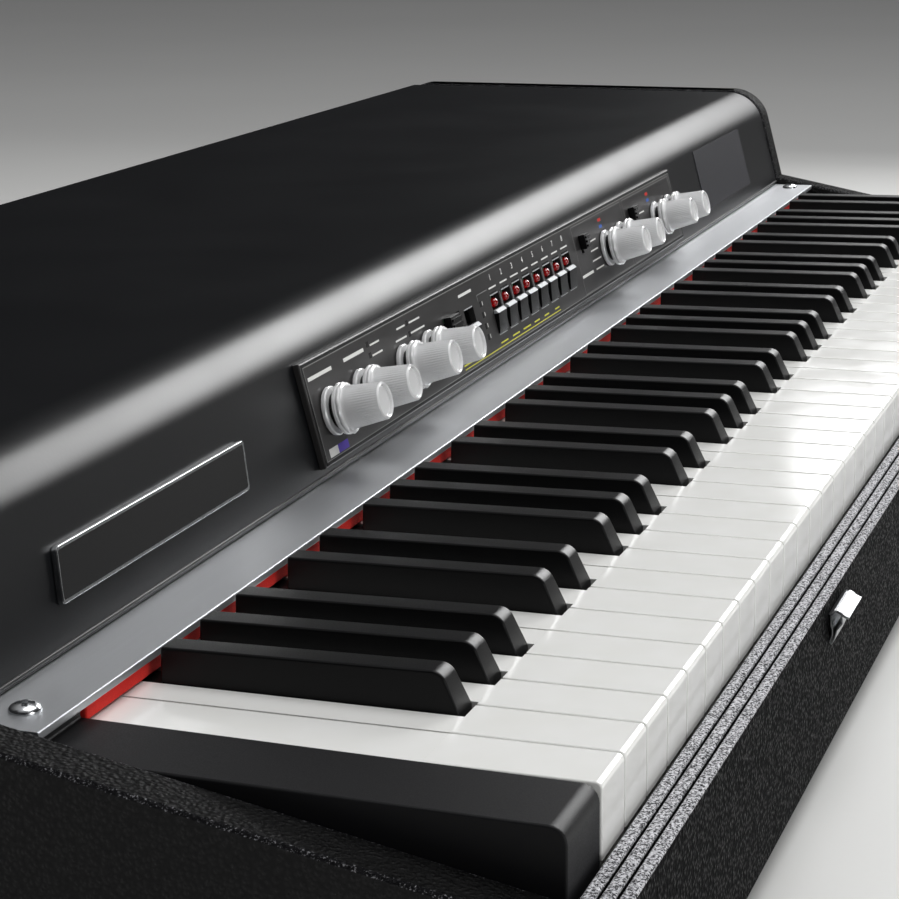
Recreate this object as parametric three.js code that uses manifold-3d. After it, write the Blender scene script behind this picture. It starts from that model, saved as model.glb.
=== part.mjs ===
// Stage piano with 73 keys in a vinyl covered wooden case, with a bent metal top cover
// and a control panel of knobs, lit push buttons and slide switches.
// Millimetres, +X to the treble end, +Y to the back, +Z up.
// The model is laid out from the keyboard: X 0 is the left edge of the lowest white key,
// Y 0 the fronts of the white keys and Z 0 their tops. The last group moves it to stand
// with the middle of its footprint at the origin.

import * as THREE from 'three';
import { mergeVertices } from 'three/addons/utils/BufferGeometryUtils.js';
import Module from 'manifold-3d';

const wasm = await Module();
wasm.setup();

// Running gap between pieces that touch or slide, and how far a cut runs past its piece
const fitGap = 0.3;
const cutOverrun = 1;

// Keyboard
const whiteCount = 43;
const lowBankCount = 12;
const tenorBankCount = 7;
const altoBankCount = 7;
const whitePitch = 23.5;
const keyGap = 1;
const whiteHeadLength = 50;
const whiteFrontHeight = 22;
const whiteBodyHeight = 11;
const whiteLipThickness = 2.5;
const whiteEdgeRadius = 1.5;
const whiteCornerRadius = 1;
const blackSlotWidth = 12.6;
const blackFootWidth = 11.2;
const blackTopWidth = 9.5;
const blackFrontGap = 2;
const blackSlant = 5.6;
const blackHeight = 12.8;
const blackRearHeight = 10.8;
const blackCapLength = 92.5;
const blackEdgeRadius = 1.2;
const blackFrontRadius = 3;
const blackTailDrop = 1;
const keyTailTaper = 22;
const pivotFromFront = 215;
const pivotDepth = 10;
const barrelRadius = 5;
const bankRodRadius = 2.3;
const bankRodInset = 3;
const rodSides = 5;
const keyCurveSteps = 2;

// Felt strip and rail behind the keys
const keyToFeltGap = 0.5;
const feltDepth = 8;
const feltSetback = 2.3;
const railFront = 146.7;
const railDepth = 31.3;
const railThickness = 2.6;
const railUnderside = 6.2;
const railEdgeRadius = 1.2;

// Cheek blocks
const cheekWidth = 30.5;
const cheekToKeyGap = 1.2;
const cheekFrontTop = 0.2;
const cheekRearTop = 2.2;
const cheekStep = 150;
const cheekRear = 196;
const cheekRadius = 5;

// Case
const sideThickness = 18;
const sideEdgeRound = 2;
const caseFront = 15.2;
const caseRear = 430;
const caseBottom = 79;
const sideFrontTop = 22;
const sideCornerRadius = 5;
const sideWallRise = 13.2;
const sideProud = 1;
const sideRearRadius = 12;
const boardThickness = 12;
const frontThickness = 11;
const frontTop = 20;
const ribGrooveWidth = 1;
const ribGrooveDepth = 2.2;
const ribRound = 0.7;
const ribCount = 3;
const footHeight = 12;
const footRadius = 19;
const footTopRadius = 16;
const footInset = 60;
const footRecess = 3;
const footRecessRadius = 8;

// Top cover
const coverFoot = 170.3;
const coverLean = THREE.MathUtils.degToRad(14.74);
const coverThickness = 2;
const coverTop = 69;
const coverRear = 427;
const coverBendRadius = 22;
const coverFootFlange = 10;

// Control panel: heights are taken up the cover face from the cover foot, and shares are
// parts of the panel width
const panelPlace = 230;
const panelWidth = 546.4;
const panelFoot = 4.8;
const panelHeight = 39.8;
const panelThickness = 3;
const panelBevel = 1;
const controlLine = 23;
const knobShares = [0.0302, 0.0888, 0.1766, 0.2315, 0.7255, 0.778, 0.9114, 0.964];
const buttonCount = 8;
const firstButtonShare = 0.388;
const buttonPitchShare = 0.0292;
const windowWidthShare = 0.0227;
const windowFoot = 13.8;
const windowHeight = 17.35;
const bankButtonShare = 0.3225;
const bankSlotShare = 0.2738;
const bankSlotWidthShare = 0.0395;
const bankSlotFoot = 24.6;
const bankSlotHeight = 8;
const effectSwitchShares = [0.6565, 0.8303];
const effectSwitchLine = 32.4;
const effectSlotWidth = 4;

// Knobs
const knobShaftRadius = 3;
const knobShaftDepth = 9.5;
const knobFlangeRadius = 9.3;
const knobFlangeHeight = 2;
const knobNeckRadius = 7.4;
const knobCollarRadius = 9.9;
const knobCollarFoot = 4.6;
const knobCollarTop = 7.6;
const knobBodyRadius = 8.2;
const knobBodyFoot = 8.4;
const knobTopRadius = 6.9;
const knobHeight = 22.5;
const knobRimWidth = 1.3;
const knobRecess = 1.2;
const knobFluteDepth = 0.5;
const knobFluteCount = 10;
const shaftHoleRadius = 4;

// Push buttons and slide switches
const buttonSideGap = 0.35;
const buttonHeight = 11;
const buttonFaceRise = 1.6;
const buttonPeakRise = 3.8;
const buttonPeak = 8.8;
const buttonBackRise = 1.2;
const buttonSkirt = 5;
const buttonStemWidth = 4;
const buttonTravel = 1.5;
const slideRise = 4.6;
const slideCapRound = 0.8;
const bankSlideWidth = 12;
const effectCapWidth = 8;
const effectCapHeight = 7.4;
const effectTravel = 4;
const slideStem = 3;

// Panel circuit board behind the cover face
const boardDrop = 14;
const circuitThickness = 1.6;
const panelBoardMargin = 3;
const potRadius = 6;
const potBoreGap = 0.4;
const potBoreDepth = 6;
const potTopGap = 0.8;
const lampWidth = 4;
const lampHeight = 4.4;
const lampDrop = 2.4;
const switchWidth = 8;
const postRadius = 2.6;

// Name plate at the left of the cover
const plateWidth = 136;
const plateHeight = 15.8;
const plateThickness = 2.2;
const platePlace = 33;
const plateFoot = 14.4;
const plateCornerRadius = 1.5;

// Steel key frame
const frameSheet = 2;
const frameDeckDepth = 44;
const frameFront = 10;
const frameSideGap = 2;
const guidePlace = 14;
const guideTop = 24;
const cradleHalfWidth = 8;
const cradleTop = 12.2;
const frameFoot = 14;

// Lid catches on the front board
const catchWidth = 25;
const catchLoopWidth = 21;
const catchPlace = 240;
const catchTop = 25;
const catchReach = 7;
const catchDrop = 2.4;
const catchSheet = 1.2;
const catchCrownShare = 0.33;
const catchLoopReach = 4.2;
const catchLoopHeight = 11.6;
const catchLoopSheet = 0.8;
const catchNeckShare = 0.57;

// Sockets at the back
const openingWidth = 260;
const openingHeight = 44;
const openingFoot = 50;
const openingFromSide = 90;
const platePad = 10;
const socketPitchShare = 0.0923;
const jackCount = 4;
const jackHoleRadius = 3.4;
const jackNutRadius = 6.5;
const jackNutHeight = 2;
const jackBodyWidth = 16;
const jackBodyDepth = 22;
const jackDepth = 20;
const jackMargin = 20;
const digitalSocketRadius = 8.5;
const digitalSocketCount = 2;
const digitalSocketRise = 1;
const dataPortWidth = 9;
const dataPortHeight = 8;
const dataPortDepth = 12;
const inletWidth = 25;
const inletHeight = 17;
const inletDepth = 15;
const inletWall = 2;
const rockerWidth = 12;
const rockerHalfHeight = 8.6;
const rockerRise = 5.2;
const rockerDish = 1;
const rockerTilt = THREE.MathUtils.degToRad(7);
const rockerSlotHalf = 9.7;

// Circuit boards and power supply in the case
const mainBoardWidth = 250;
const mainBoardDepth = 80;
const mainBoardGap = 26;
const standoffHeight = 8;
const standoffRadius = 3.5;
const standoffInset = 8;
const chipWidth = 28;
const chipHeight = 3;
const chipShares = [0.25, 0.5, 0.75];
const supplyWidth = 180;
const supplyDepth = 100;
const supplyHeight = 42;
const supplyFlange = 10;
const supplyPlace = 110;
const supplyRound = 4;

// Kinds of white key in order from the lowest, and how far each black key stands off the
// boundary below it, as shares of the white key pitch
const whiteLetters = ['E', 'F', 'G', 'A', 'B', 'C', 'D'];
const blackOffsetShares = { F: -0.162, G: 0, A: 0.128, C: -0.085, D: 0.102 };

// Worked out places
const keyboardWidth = whiteCount * whitePitch;
const middle = keyboardWidth / 2;
const innerLeft = -cheekToKeyGap - cheekWidth;
const innerRight = keyboardWidth - innerLeft;
const sideLeft = innerLeft - fitGap - sideThickness;
const sideRight = innerRight + fitGap;
const innerWidth = innerRight - innerLeft;
const railTop = railUnderside + railThickness;
const coverFootZ = railTop + fitGap;
const floorTop = -caseBottom + boardThickness;
const backInner = caseRear - boardThickness;
const frontInner = frontThickness - caseFront;

const panelShare = (share) => share * panelWidth;
const panelSpot = (share) => panelPlace + panelShare(share);
const knobPlaces = knobShares.map(panelSpot);
const buttonPlaces = Array.from(
  { length: buttonCount },
  (_, i) => panelSpot(firstButtonShare + i * buttonPitchShare),
);
const windowWidth = panelShare(windowWidthShare);
const bankButtonPlace = panelSpot(bankButtonShare);
const bankSlotPlace = panelSpot(bankSlotShare);
const bankSlotWidth = panelShare(bankSlotWidthShare);
const effectSwitchPlaces = effectSwitchShares.map(panelSpot);

const up = new THREE.Vector3(0, 0, 1);
const right = new THREE.Vector3(1, 0, 0);
const back = new THREE.Vector3(0, 1, 0);
const front = new THREE.Vector3(0, -1, 0);

// Finishes
function finish(color, roughness, metalness) {
  return new THREE.MeshStandardMaterial({ color, roughness, metalness });
}
const vinyl = () => finish(0x1b1b1d, 0.55, 0);
const satinBlack = () => finish(0x202124, 0.35, 0);
const coverPaint = () => finish(0x28292c, 0.32, 0.1);
const acrylic = () => finish(0x3c3b3a, 0.25, 0);
const whiteGloss = () => finish(0xe6e6e4, 0.18, 0);
const blackKeyPlastic = () => finish(0x141415, 0.4, 0);
const clearPlastic = () => finish(0xcfd3d4, 0.12, 0);
const aluminium = () => finish(0xb9bbbd, 0.38, 0.9);
const chrome = () => finish(0xd8dadc, 0.12, 1);
const steel = () => finish(0x9a9d9f, 0.45, 0.9);
const felt = () => finish(0xb01c16, 0.95, 0);
const rubber = () => finish(0x161616, 0.85, 0);
const circuitGreen = () => finish(0x1f4d2e, 0.5, 0);

// One closed solid from a geometry: loose faces are welded and empty ones dropped
function solidOf(geometry) {
  const bare = geometry.clone();
  bare.deleteAttribute('normal');
  bare.deleteAttribute('uv');
  const welded = mergeVertices(bare);
  const corners = welded.index.array;
  const faces = [];
  for (let i = 0; i < corners.length; i += 3) {
    const [a, b, c] = corners.slice(i, i + 3);
    if (a !== b && b !== c && c !== a) faces.push(a, b, c);
  }
  return new wasm.Manifold(new wasm.Mesh({
    numProp: 3,
    vertProperties: new Float32Array(welded.attributes.position.array),
    triVerts: new Uint32Array(faces),
  }));
}

function geometryOf(solid) {
  const mesh = solid.getMesh();
  const geometry = new THREE.BufferGeometry();
  geometry.setAttribute('position', new THREE.BufferAttribute(mesh.vertProperties, 3));
  geometry.setIndex(new THREE.BufferAttribute(mesh.triVerts, 1));
  geometry.computeVertexNormals();
  return geometry;
}

function joined(solids) {
  return solids.reduce((whole, solid) => whole.add(solid));
}

function cutBy(solid, tools) {
  return tools.reduce((whole, tool) => whole.subtract(tool), solid);
}

// Outline through corners [across, up, radius], each corner rounded by its own radius
function outline(corners) {
  const shape = new THREE.Shape();
  corners.forEach(([across, height, radius = 0], i) => {
    const corner = new THREE.Vector2(across, height);
    if (radius === 0) {
      if (i === 0) shape.moveTo(corner.x, corner.y);
      else shape.lineTo(corner.x, corner.y);
      return;
    }
    const before = new THREE.Vector2(...corners[(i + corners.length - 1) % corners.length]);
    const after = new THREE.Vector2(...corners[(i + 1) % corners.length]);
    const toBefore = before.sub(corner).normalize();
    const toAfter = after.sub(corner).normalize();
    const halfAngle = Math.acos(toBefore.dot(toAfter)) / 2;
    const reach = radius / Math.tan(halfAngle);
    const start = corner.clone().addScaledVector(toBefore, reach);
    const end = corner.clone().addScaledVector(toAfter, reach);
    if (i === 0) shape.moveTo(start.x, start.y);
    else shape.lineTo(start.x, start.y);
    shape.quadraticCurveTo(corner.x, corner.y, end.x, end.y);
  });
  return shape;
}

function rectangle(left, bottom, width, height, radius = 0) {
  return outline([
    [left, bottom, radius],
    [left + width, bottom, radius],
    [left + width, bottom + height, radius],
    [left, bottom + height, radius],
  ]);
}

function extruded(shape, depth, curveSegments = 3) {
  return new THREE.ExtrudeGeometry(shape, { depth, curveSegments, bevelEnabled: false });
}

// A (Y, Z) outline run along +X from x
function alongX(shape, x, length, curveSegments) {
  const turn = new THREE.Matrix4().makeBasis(back, up, right);
  return extruded(shape, length, curveSegments).applyMatrix4(turn).translate(x, 0, 0);
}

// An (X, Z) outline run from rear y towards the front
function towardsFront(shape, y, length, curveSegments) {
  const turn = new THREE.Matrix4().makeBasis(right, up, front);
  return extruded(shape, length, curveSegments).applyMatrix4(turn).translate(0, y, 0);
}

// An (X, Y) outline run up from z
function upFrom(shape, z, height, curveSegments) {
  return extruded(shape, height, curveSegments).translate(0, 0, z);
}

// Round solid about +Z from a profile of [radius, height] that starts and ends on the axis
function turned(profile, segments) {
  const points = profile.map(([radius, height]) => new THREE.Vector2(radius, height));
  return new THREE.LatheGeometry(points, segments).rotateX(Math.PI / 2);
}

function rod(radius, height, segments) {
  return turned([[0, 0], [radius, 0], [radius, height], [0, height]], segments);
}

function part(name, shape, material) {
  const geometry = shape.isBufferGeometry ? geometryOf(solidOf(shape)) : geometryOf(shape);
  const mesh = new THREE.Mesh(geometry, material);
  mesh.name = name;
  return mesh;
}

// Keys. Every key ends in a round barrel that turns in the cradle of the key frame.
const letterOf = (index) => whiteLetters[index % whiteLetters.length];

function blackCentre(boundary) {
  if (boundary < 1 || boundary >= whiteCount) return null;
  const share = blackOffsetShares[letterOf(boundary - 1)];
  return share === undefined ? null : (boundary + share) * whitePitch;
}

// Adds the tapered tail, the barrel and the underside to a key's side outline
function tailOutline(side, topZ) {
  const underside = Math.asin((whiteBodyHeight - pivotDepth) / barrelRadius);
  side.lineTo(pivotFromFront - keyTailTaper, topZ);
  side.lineTo(pivotFromFront, barrelRadius - pivotDepth);
  side.absarc(pivotFromFront, -pivotDepth, barrelRadius, Math.PI / 2, Math.PI + underside, true);
}

function whiteKey(index) {
  const left = index * whitePitch;
  const start = left + keyGap / 2;
  const end = left + whitePitch - keyGap / 2;
  const lower = blackCentre(index);
  const upper = blackCentre(index + 1);
  const tailStart = lower === null ? start : lower + blackSlotWidth / 2;
  const tailEnd = upper === null ? end : upper - blackSlotWidth / 2;
  const rear = pivotFromFront + barrelRadius + cutOverrun;
  const corners = [[start, 0, whiteCornerRadius], [end, 0, whiteCornerRadius]];
  if (upper !== null) corners.push([end, whiteHeadLength], [tailEnd, whiteHeadLength]);
  corners.push([tailEnd, rear], [tailStart, rear]);
  if (lower !== null) corners.push([tailStart, whiteHeadLength], [start, whiteHeadLength]);
  const plan = upFrom(outline(corners), -whiteFrontHeight - cutOverrun,
    whiteFrontHeight + 2 * cutOverrun, 1);

  const side = new THREE.Shape();
  side.moveTo(0, -whiteFrontHeight);
  side.lineTo(0, -whiteEdgeRadius);
  side.quadraticCurveTo(0, 0, whiteEdgeRadius, 0);
  tailOutline(side, 0);
  side.lineTo(whiteLipThickness, -whiteBodyHeight);
  side.lineTo(whiteLipThickness, -whiteFrontHeight);
  const body = alongX(side, left, whitePitch, keyCurveSteps);
  return solidOf(plan).intersect(solidOf(body));
}

function blackKey(boundary) {
  const centre = blackCentre(boundary);
  const foot = whiteHeadLength + blackFrontGap;
  const capEnd = foot + blackCapLength;
  const side = outline([
    [foot, -whiteBodyHeight],
    [foot, 0],
    [foot + blackSlant, blackHeight, blackFrontRadius],
    [capEnd, blackRearHeight, blackEdgeRadius],
    [capEnd, -blackTailDrop],
  ]);
  tailOutline(side, -blackTailDrop);
  const body = alongX(side, centre - blackFootWidth / 2, blackFootWidth, keyCurveSteps);

  const footHalf = blackFootWidth / 2;
  const topHalf = blackTopWidth / 2;
  const depth = whiteFrontHeight;
  const section = outline([
    [-footHalf, -depth],
    [footHalf, -depth],
    [footHalf, 0],
    [topHalf, blackHeight, blackEdgeRadius],
    [-topHalf, blackHeight, blackEdgeRadius],
    [-footHalf, 0],
  ]);
  const length = pivotFromFront + barrelRadius + cutOverrun;
  const slope = Math.atan((blackHeight - blackRearHeight) / (blackCapLength - blackSlant));
  const shaft = towardsFront(section, length, length, 1);
  shaft.translate(0, -foot - blackSlant, -blackHeight).rotateX(-slope);
  shaft.translate(centre, foot + blackSlant, blackHeight);
  return solidOf(shaft).intersect(solidOf(body));
}

function bankRod(first, after) {
  const start = first * whitePitch + keyGap + bankRodInset;
  const end = after * whitePitch - keyGap - bankRodInset;
  return solidOf(rod(bankRodRadius, end - start, rodSides).rotateY(Math.PI / 2)
    .translate(start, pivotFromFront, -pivotDepth));
}

// White keys from the first up to the next bank, with the black keys between them, on one
// pivot rod
function keyBank(name, first, after) {
  const solids = [];
  for (let i = first; i < after; i += 1) {
    solids.push(whiteKey(i));
    if (i + 1 < after && blackCentre(i + 1) !== null) solids.push(blackKey(i + 1));
  }
  return part(name, joined([bankRod(first, after), ...solids]), whiteGloss());
}

function singleKeys(first, after) {
  const keys = [];
  for (let i = first; i < after; i += 1) {
    const letter = letterOf(i).toLowerCase();
    keys.push(part(`key_${letter}_4`, whiteKey(i), whiteGloss()));
    if (blackCentre(i + 1) !== null) {
      keys.push(part(`key_${letter}_sharp_4`, blackKey(i + 1), blackKeyPlastic()));
    }
  }
  return keys;
}

function keyboard() {
  const firstSingle = lowBankCount + tenorBankCount;
  const firstAlto = firstSingle + whiteLetters.length;
  const firstHigh = firstAlto + altoBankCount;
  const group = new THREE.Group();
  group.add(
    keyBank('key_bank_low', 0, lowBankCount),
    keyBank('key_bank_tenor', lowBankCount, firstSingle),
    ...singleKeys(firstSingle, firstAlto),
    keyBank('key_bank_alto', firstAlto, firstHigh),
    keyBank('key_bank_high', firstHigh, whiteCount),
  );
  return group;
}

// Felt strip, rail and cheek blocks
function feltStrip() {
  const start = railFront + feltSetback;
  const section = rectangle(start, keyToFeltGap, feltDepth, railUnderside - fitGap - keyToFeltGap);
  return part('felt_strip', alongX(section, 0, keyboardWidth), felt());
}

function rail() {
  const section = outline([
    [railFront, railUnderside, railEdgeRadius],
    [railFront + railDepth, railUnderside],
    [railFront + railDepth, railTop],
    [railFront, railTop, railEdgeRadius],
  ]);
  return part('rail', alongX(section, innerLeft, innerWidth), aluminium());
}

function cheek(name, x) {
  const seat = railUnderside - fitGap;
  const foot = fitGap - frameDeckDepth;
  const section = outline([
    [0, foot],
    [0, cheekFrontTop, cheekRadius],
    [cheekStep, cheekRearTop],
    [cheekStep, seat, fitGap],
    [cheekRear, seat],
    [cheekRear, foot],
  ]);
  return part(name, alongX(section, x, cheekWidth), satinBlack());
}

// Cover face line: points on it, and the arc that turns it into the flat top
function coverLine(offset) {
  const lean = new THREE.Vector2(Math.sin(coverLean), Math.cos(coverLean));
  const out = new THREE.Vector2(-Math.cos(coverLean), Math.sin(coverLean));
  const foot = new THREE.Vector2(coverFoot, coverFootZ);
  const centreZ = coverTop - coverBendRadius;
  const rise = (centreZ - coverFootZ + coverBendRadius * out.y) / lean.y;
  const centre = foot.clone().addScaledVector(lean, rise).addScaledVector(out, -coverBendRadius);
  const start = foot.clone().addScaledVector(out, offset);
  const radius = coverBendRadius + offset;
  const at = (z) => start.clone().addScaledVector(lean, (z - start.y) / lean.y);
  return { centre, radius, at, outAngle: Math.PI - coverLean };
}

function sidePanel(name, x) {
  const line = coverLine(sideProud);
  const wall = line.at(sideWallRise);
  const top = coverTop + sideProud;
  const shape = outline([
    [-caseFront, -caseBottom],
    [-caseFront, -sideFrontTop, sideCornerRadius],
    [wall.x, wall.y],
  ]);
  shape.absarc(line.centre.x, line.centre.y, line.radius, line.outAngle, Math.PI / 2, true);
  shape.lineTo(caseRear - sideRearRadius, top);
  shape.quadraticCurveTo(caseRear, top, caseRear, top - sideRearRadius);
  shape.lineTo(caseRear, -caseBottom);
  const turn = new THREE.Matrix4().makeBasis(back, up, right);
  const board = new THREE.ExtrudeGeometry(shape, {
    depth: sideThickness - 2 * sideEdgeRound,
    curveSegments: 3,
    bevelThickness: sideEdgeRound,
    bevelSize: sideEdgeRound,
    bevelOffset: -sideEdgeRound,
    bevelSegments: 2,
  });
  board.applyMatrix4(turn).translate(x + sideEdgeRound, 0, 0);
  return part(name, board, vinyl());
}

function topCover() {
  const outer = coverLine(0);
  const inner = coverLine(-coverThickness);
  const flangeTop = coverFootZ + coverThickness;
  const insideFoot = inner.at(flangeTop);
  const flangeEnd = insideFoot.x + coverFootFlange;
  const shape = new THREE.Shape();
  shape.moveTo(flangeEnd, coverFootZ);
  shape.lineTo(coverFoot, coverFootZ);
  shape.absarc(outer.centre.x, outer.centre.y, outer.radius, outer.outAngle, Math.PI / 2, true);
  shape.lineTo(coverRear, coverTop);
  shape.lineTo(coverRear, coverTop - coverThickness);
  shape.absarc(inner.centre.x, inner.centre.y, inner.radius, Math.PI / 2, inner.outAngle, false);
  shape.lineTo(insideFoot.x, insideFoot.y);
  shape.lineTo(flangeEnd, flangeTop);
  return solidOf(alongX(shape, innerLeft, innerWidth, 4));
}

// Everything on the cover face is laid out flat, with X along it, Y up it and Z out of it,
// and the openings for the controls go through both the panel and the cover
function faceOpenings(bottom, height) {
  const prisms = [];
  const add = (shape) => prisms.push(solidOf(upFrom(shape, bottom, height)));
  const hole = rod(shaftHoleRadius, height, 12);
  knobPlaces.forEach((place) => {
    prisms.push(solidOf(hole.clone().translate(place, controlLine, bottom)));
  });
  [...buttonPlaces, bankButtonPlace].forEach((left) => {
    add(rectangle(left, windowFoot, windowWidth, windowHeight));
  });
  add(rectangle(bankSlotPlace, bankSlotFoot, bankSlotWidth, bankSlotHeight));
  const slotHeight = slideStem + effectTravel + 2 * fitGap;
  const slotFoot = effectSwitchLine - effectTravel - slideStem / 2 - fitGap;
  effectSwitchPlaces.forEach((place) => {
    add(rectangle(place - effectSlotWidth / 2, slotFoot, effectSlotWidth, slotHeight));
  });
  return prisms;
}

function controlPanel() {
  const bevelled = new THREE.ExtrudeGeometry(
    rectangle(panelPlace, panelFoot, panelWidth, panelHeight),
    {
      depth: panelThickness - panelBevel,
      bevelThickness: panelBevel,
      bevelSize: panelBevel,
      bevelOffset: -panelBevel,
      bevelSegments: 1,
    },
  );
  const below = upFrom(
    rectangle(panelPlace, panelFoot, panelWidth, panelHeight),
    fitGap,
    panelThickness - panelBevel - fitGap,
  );
  const lid = solidOf(bevelled).add(solidOf(below));
  const under = solidOf(upFrom(
    rectangle(
      panelPlace - cutOverrun,
      panelFoot - cutOverrun,
      panelWidth + 2 * cutOverrun,
      panelHeight + 2 * cutOverrun,
    ),
    -panelBevel - cutOverrun,
    panelBevel + cutOverrun + fitGap,
  ));
  const openings = faceOpenings(-cutOverrun, panelThickness + 2 * cutOverrun);
  return part('control_panel', cutBy(lid, [under, ...openings]), acrylic());
}

function knob(name, place) {
  const profile = [
    [0, -knobShaftDepth],
    [knobShaftRadius, -knobShaftDepth],
    [knobShaftRadius, 0],
    [knobFlangeRadius, 0],
    [knobFlangeRadius, knobFlangeHeight],
    [knobNeckRadius, knobFlangeHeight],
    [knobNeckRadius, knobCollarFoot],
    [knobCollarRadius, knobCollarFoot],
    [knobCollarRadius, knobCollarTop],
    [knobBodyRadius, knobBodyFoot],
    [knobTopRadius, knobHeight],
    [knobTopRadius - knobRimWidth, knobHeight],
    [knobTopRadius - knobRimWidth, knobHeight - knobRecess],
    [0, knobHeight - knobRecess],
  ];
  const segments = 2 * knobFluteCount;
  const points = profile.map(([radius, height]) => new THREE.Vector2(radius, height));
  const geometry = new THREE.LatheGeometry(points, segments);
  const spots = geometry.attributes.position;
  for (let i = 0; i < spots.count; i += 1) {
    const step = Math.floor(i / points.length);
    const [radius, height] = profile[i % points.length];
    const onBody = height >= knobBodyFoot && radius >= knobTopRadius;
    if (step % 2 === 1 && onBody) {
      const share = (radius - knobFluteDepth) / radius;
      spots.setX(i, spots.getX(i) * share);
      spots.setZ(i, spots.getZ(i) * share);
    }
  }
  geometry.rotateX(Math.PI / 2);
  const mesh = part(name, geometry, clearPlastic());
  mesh.position.set(place, controlLine, panelThickness + fitGap);
  return mesh;
}

// Push button: a raised cap with a sloping face and a stem to the switch behind it
function pushButton(name, left) {
  const stemStart = (buttonHeight - buttonStemWidth) / 2;
  const stemEnd = stemStart + buttonStemWidth;
  const skirt = -panelThickness - buttonSkirt;
  const section = outline([
    [0, skirt],
    [stemStart, skirt],
    [stemStart, skirt - buttonStemWidth],
    [stemEnd, skirt - buttonStemWidth],
    [stemEnd, skirt],
    [buttonHeight, skirt],
    [buttonHeight, buttonBackRise],
    [buttonPeak, buttonPeakRise],
    [0, buttonFaceRise],
  ]);
  const width = windowWidth - 2 * buttonSideGap;
  const mesh = part(name, alongX(section, 0, width), satinBlack());
  mesh.position.set(left + buttonSideGap, windowFoot + buttonSideGap, panelThickness);
  return mesh;
}

function slideSwitch(name, place, line, capWidth, capHeight) {
  const cap = upFrom(
    rectangle(-capWidth / 2, -capHeight / 2, capWidth, capHeight, slideCapRound),
    fitGap,
    slideRise,
    1,
  );
  const stemFoot = -panelThickness - coverThickness - fitGap;
  const half = slideStem / 2;
  const stemSection = rectangle(-half, -half, slideStem, slideStem);
  const stem = upFrom(stemSection, stemFoot, slideRise - stemFoot);
  const mesh = part(name, solidOf(cap).add(solidOf(stem)), satinBlack());
  mesh.position.set(place, line, panelThickness);
  return mesh;
}

function panelBoard() {
  const boardLeft = panelPlace + panelBoardMargin;
  const boardFoot = panelFoot + panelBoardMargin;
  const boardHeight = panelHeight - 2 * panelBoardMargin;
  const boardWidth = panelWidth - 2 * panelBoardMargin;
  const top = -boardDrop;
  const potTop = -coverThickness - potTopGap;
  const solids = [solidOf(upFrom(
    rectangle(boardLeft, boardFoot, boardWidth, boardHeight),
    top - circuitThickness,
    circuitThickness,
  ))];
  const boreRadius = knobShaftRadius + potBoreGap;
  const pot = turned([
    [0, top - circuitThickness / 2],
    [potRadius, top - circuitThickness / 2],
    [potRadius, potTop],
    [boreRadius, potTop],
    [boreRadius, potTop - potBoreDepth],
    [0, potTop - potBoreDepth],
  ], 8);
  knobPlaces.forEach((place) => {
    solids.push(solidOf(pot.clone().translate(place, controlLine, 0)));
  });
  const lampFoot = windowFoot + windowHeight - lampHeight - buttonSideGap;
  const stemBottom = -buttonSkirt - buttonStemWidth;
  const switchTop = stemBottom - buttonTravel - fitGap;
  const buried = top - circuitThickness / 2;
  buttonPlaces.forEach((place) => {
    const left = place + (windowWidth - lampWidth) / 2;
    const lamp = rectangle(left, lampFoot, lampWidth, lampHeight);
    solids.push(solidOf(upFrom(lamp, buried, panelThickness - lampDrop - buried)));
  });
  [...buttonPlaces, bankButtonPlace].forEach((place) => {
    const left = place + (windowWidth - switchWidth) / 2;
    const body = rectangle(left, windowFoot + buttonSideGap, switchWidth, switchWidth);
    solids.push(solidOf(upFrom(body, buried, switchTop - buried)));
  });
  const post = rod(postRadius, boardDrop - coverThickness - fitGap + circuitThickness / 2, 8);
  const ends = [boardLeft + 2 * postRadius, boardLeft + boardWidth - 2 * postRadius];
  const rows = [boardFoot + 2 * postRadius, boardFoot + boardHeight - 2 * postRadius];
  ends.forEach((x) => rows.forEach((y) => {
    solids.push(solidOf(post.clone().translate(x, y, top - circuitThickness / 2)));
  }));
  return part('panel_board', joined(solids), circuitGreen());
}

function namePlate() {
  const shape = rectangle(platePlace, plateFoot, plateWidth, plateHeight, plateCornerRadius);
  return part('name_plate', upFrom(shape, fitGap, plateThickness), satinBlack());
}

function coverFace() {
  const group = new THREE.Group();
  group.position.set(0, coverFoot, coverFootZ);
  group.rotation.x = Math.PI / 2 - coverLean;
  group.add(controlPanel(), panelBoard(), namePlate());
  knobPlaces.forEach((place, i) => group.add(knob(`knob_${i + 1}`, place)));
  buttonPlaces.forEach((place, i) => group.add(pushButton(`button_${i + 1}`, place)));
  group.add(pushButton('bank_button', bankButtonPlace));
  const bankCapHeight = bankSlotHeight + fitGap * 2;
  const bankLine = bankSlotFoot + bankSlotHeight / 2;
  const bankStart = bankSlotPlace + bankSlideWidth / 2;
  group.add(slideSwitch('bank_slide', bankStart, bankLine, bankSlideWidth, bankCapHeight));
  effectSwitchPlaces.forEach((place, i) => {
    const name = `effect_slide_${i + 1}`;
    group.add(slideSwitch(name, place, effectSwitchLine, effectCapWidth, effectCapHeight));
  });
  return group;
}

// The openings are cut in the cover after the flat layout is turned onto its face
function cutTopCover() {
  const toFace = new THREE.Matrix4().makeRotationX(Math.PI / 2 - coverLean)
    .setPosition(0, coverFoot, coverFootZ);
  const depth = coverThickness + 2 * cutOverrun;
  const tools = faceOpenings(-coverThickness - cutOverrun, depth)
    .map((prism) => solidOf(geometryOf(prism).applyMatrix4(toFace)));
  return part('top_cover', cutBy(topCover(), tools), coverPaint());
}

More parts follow.
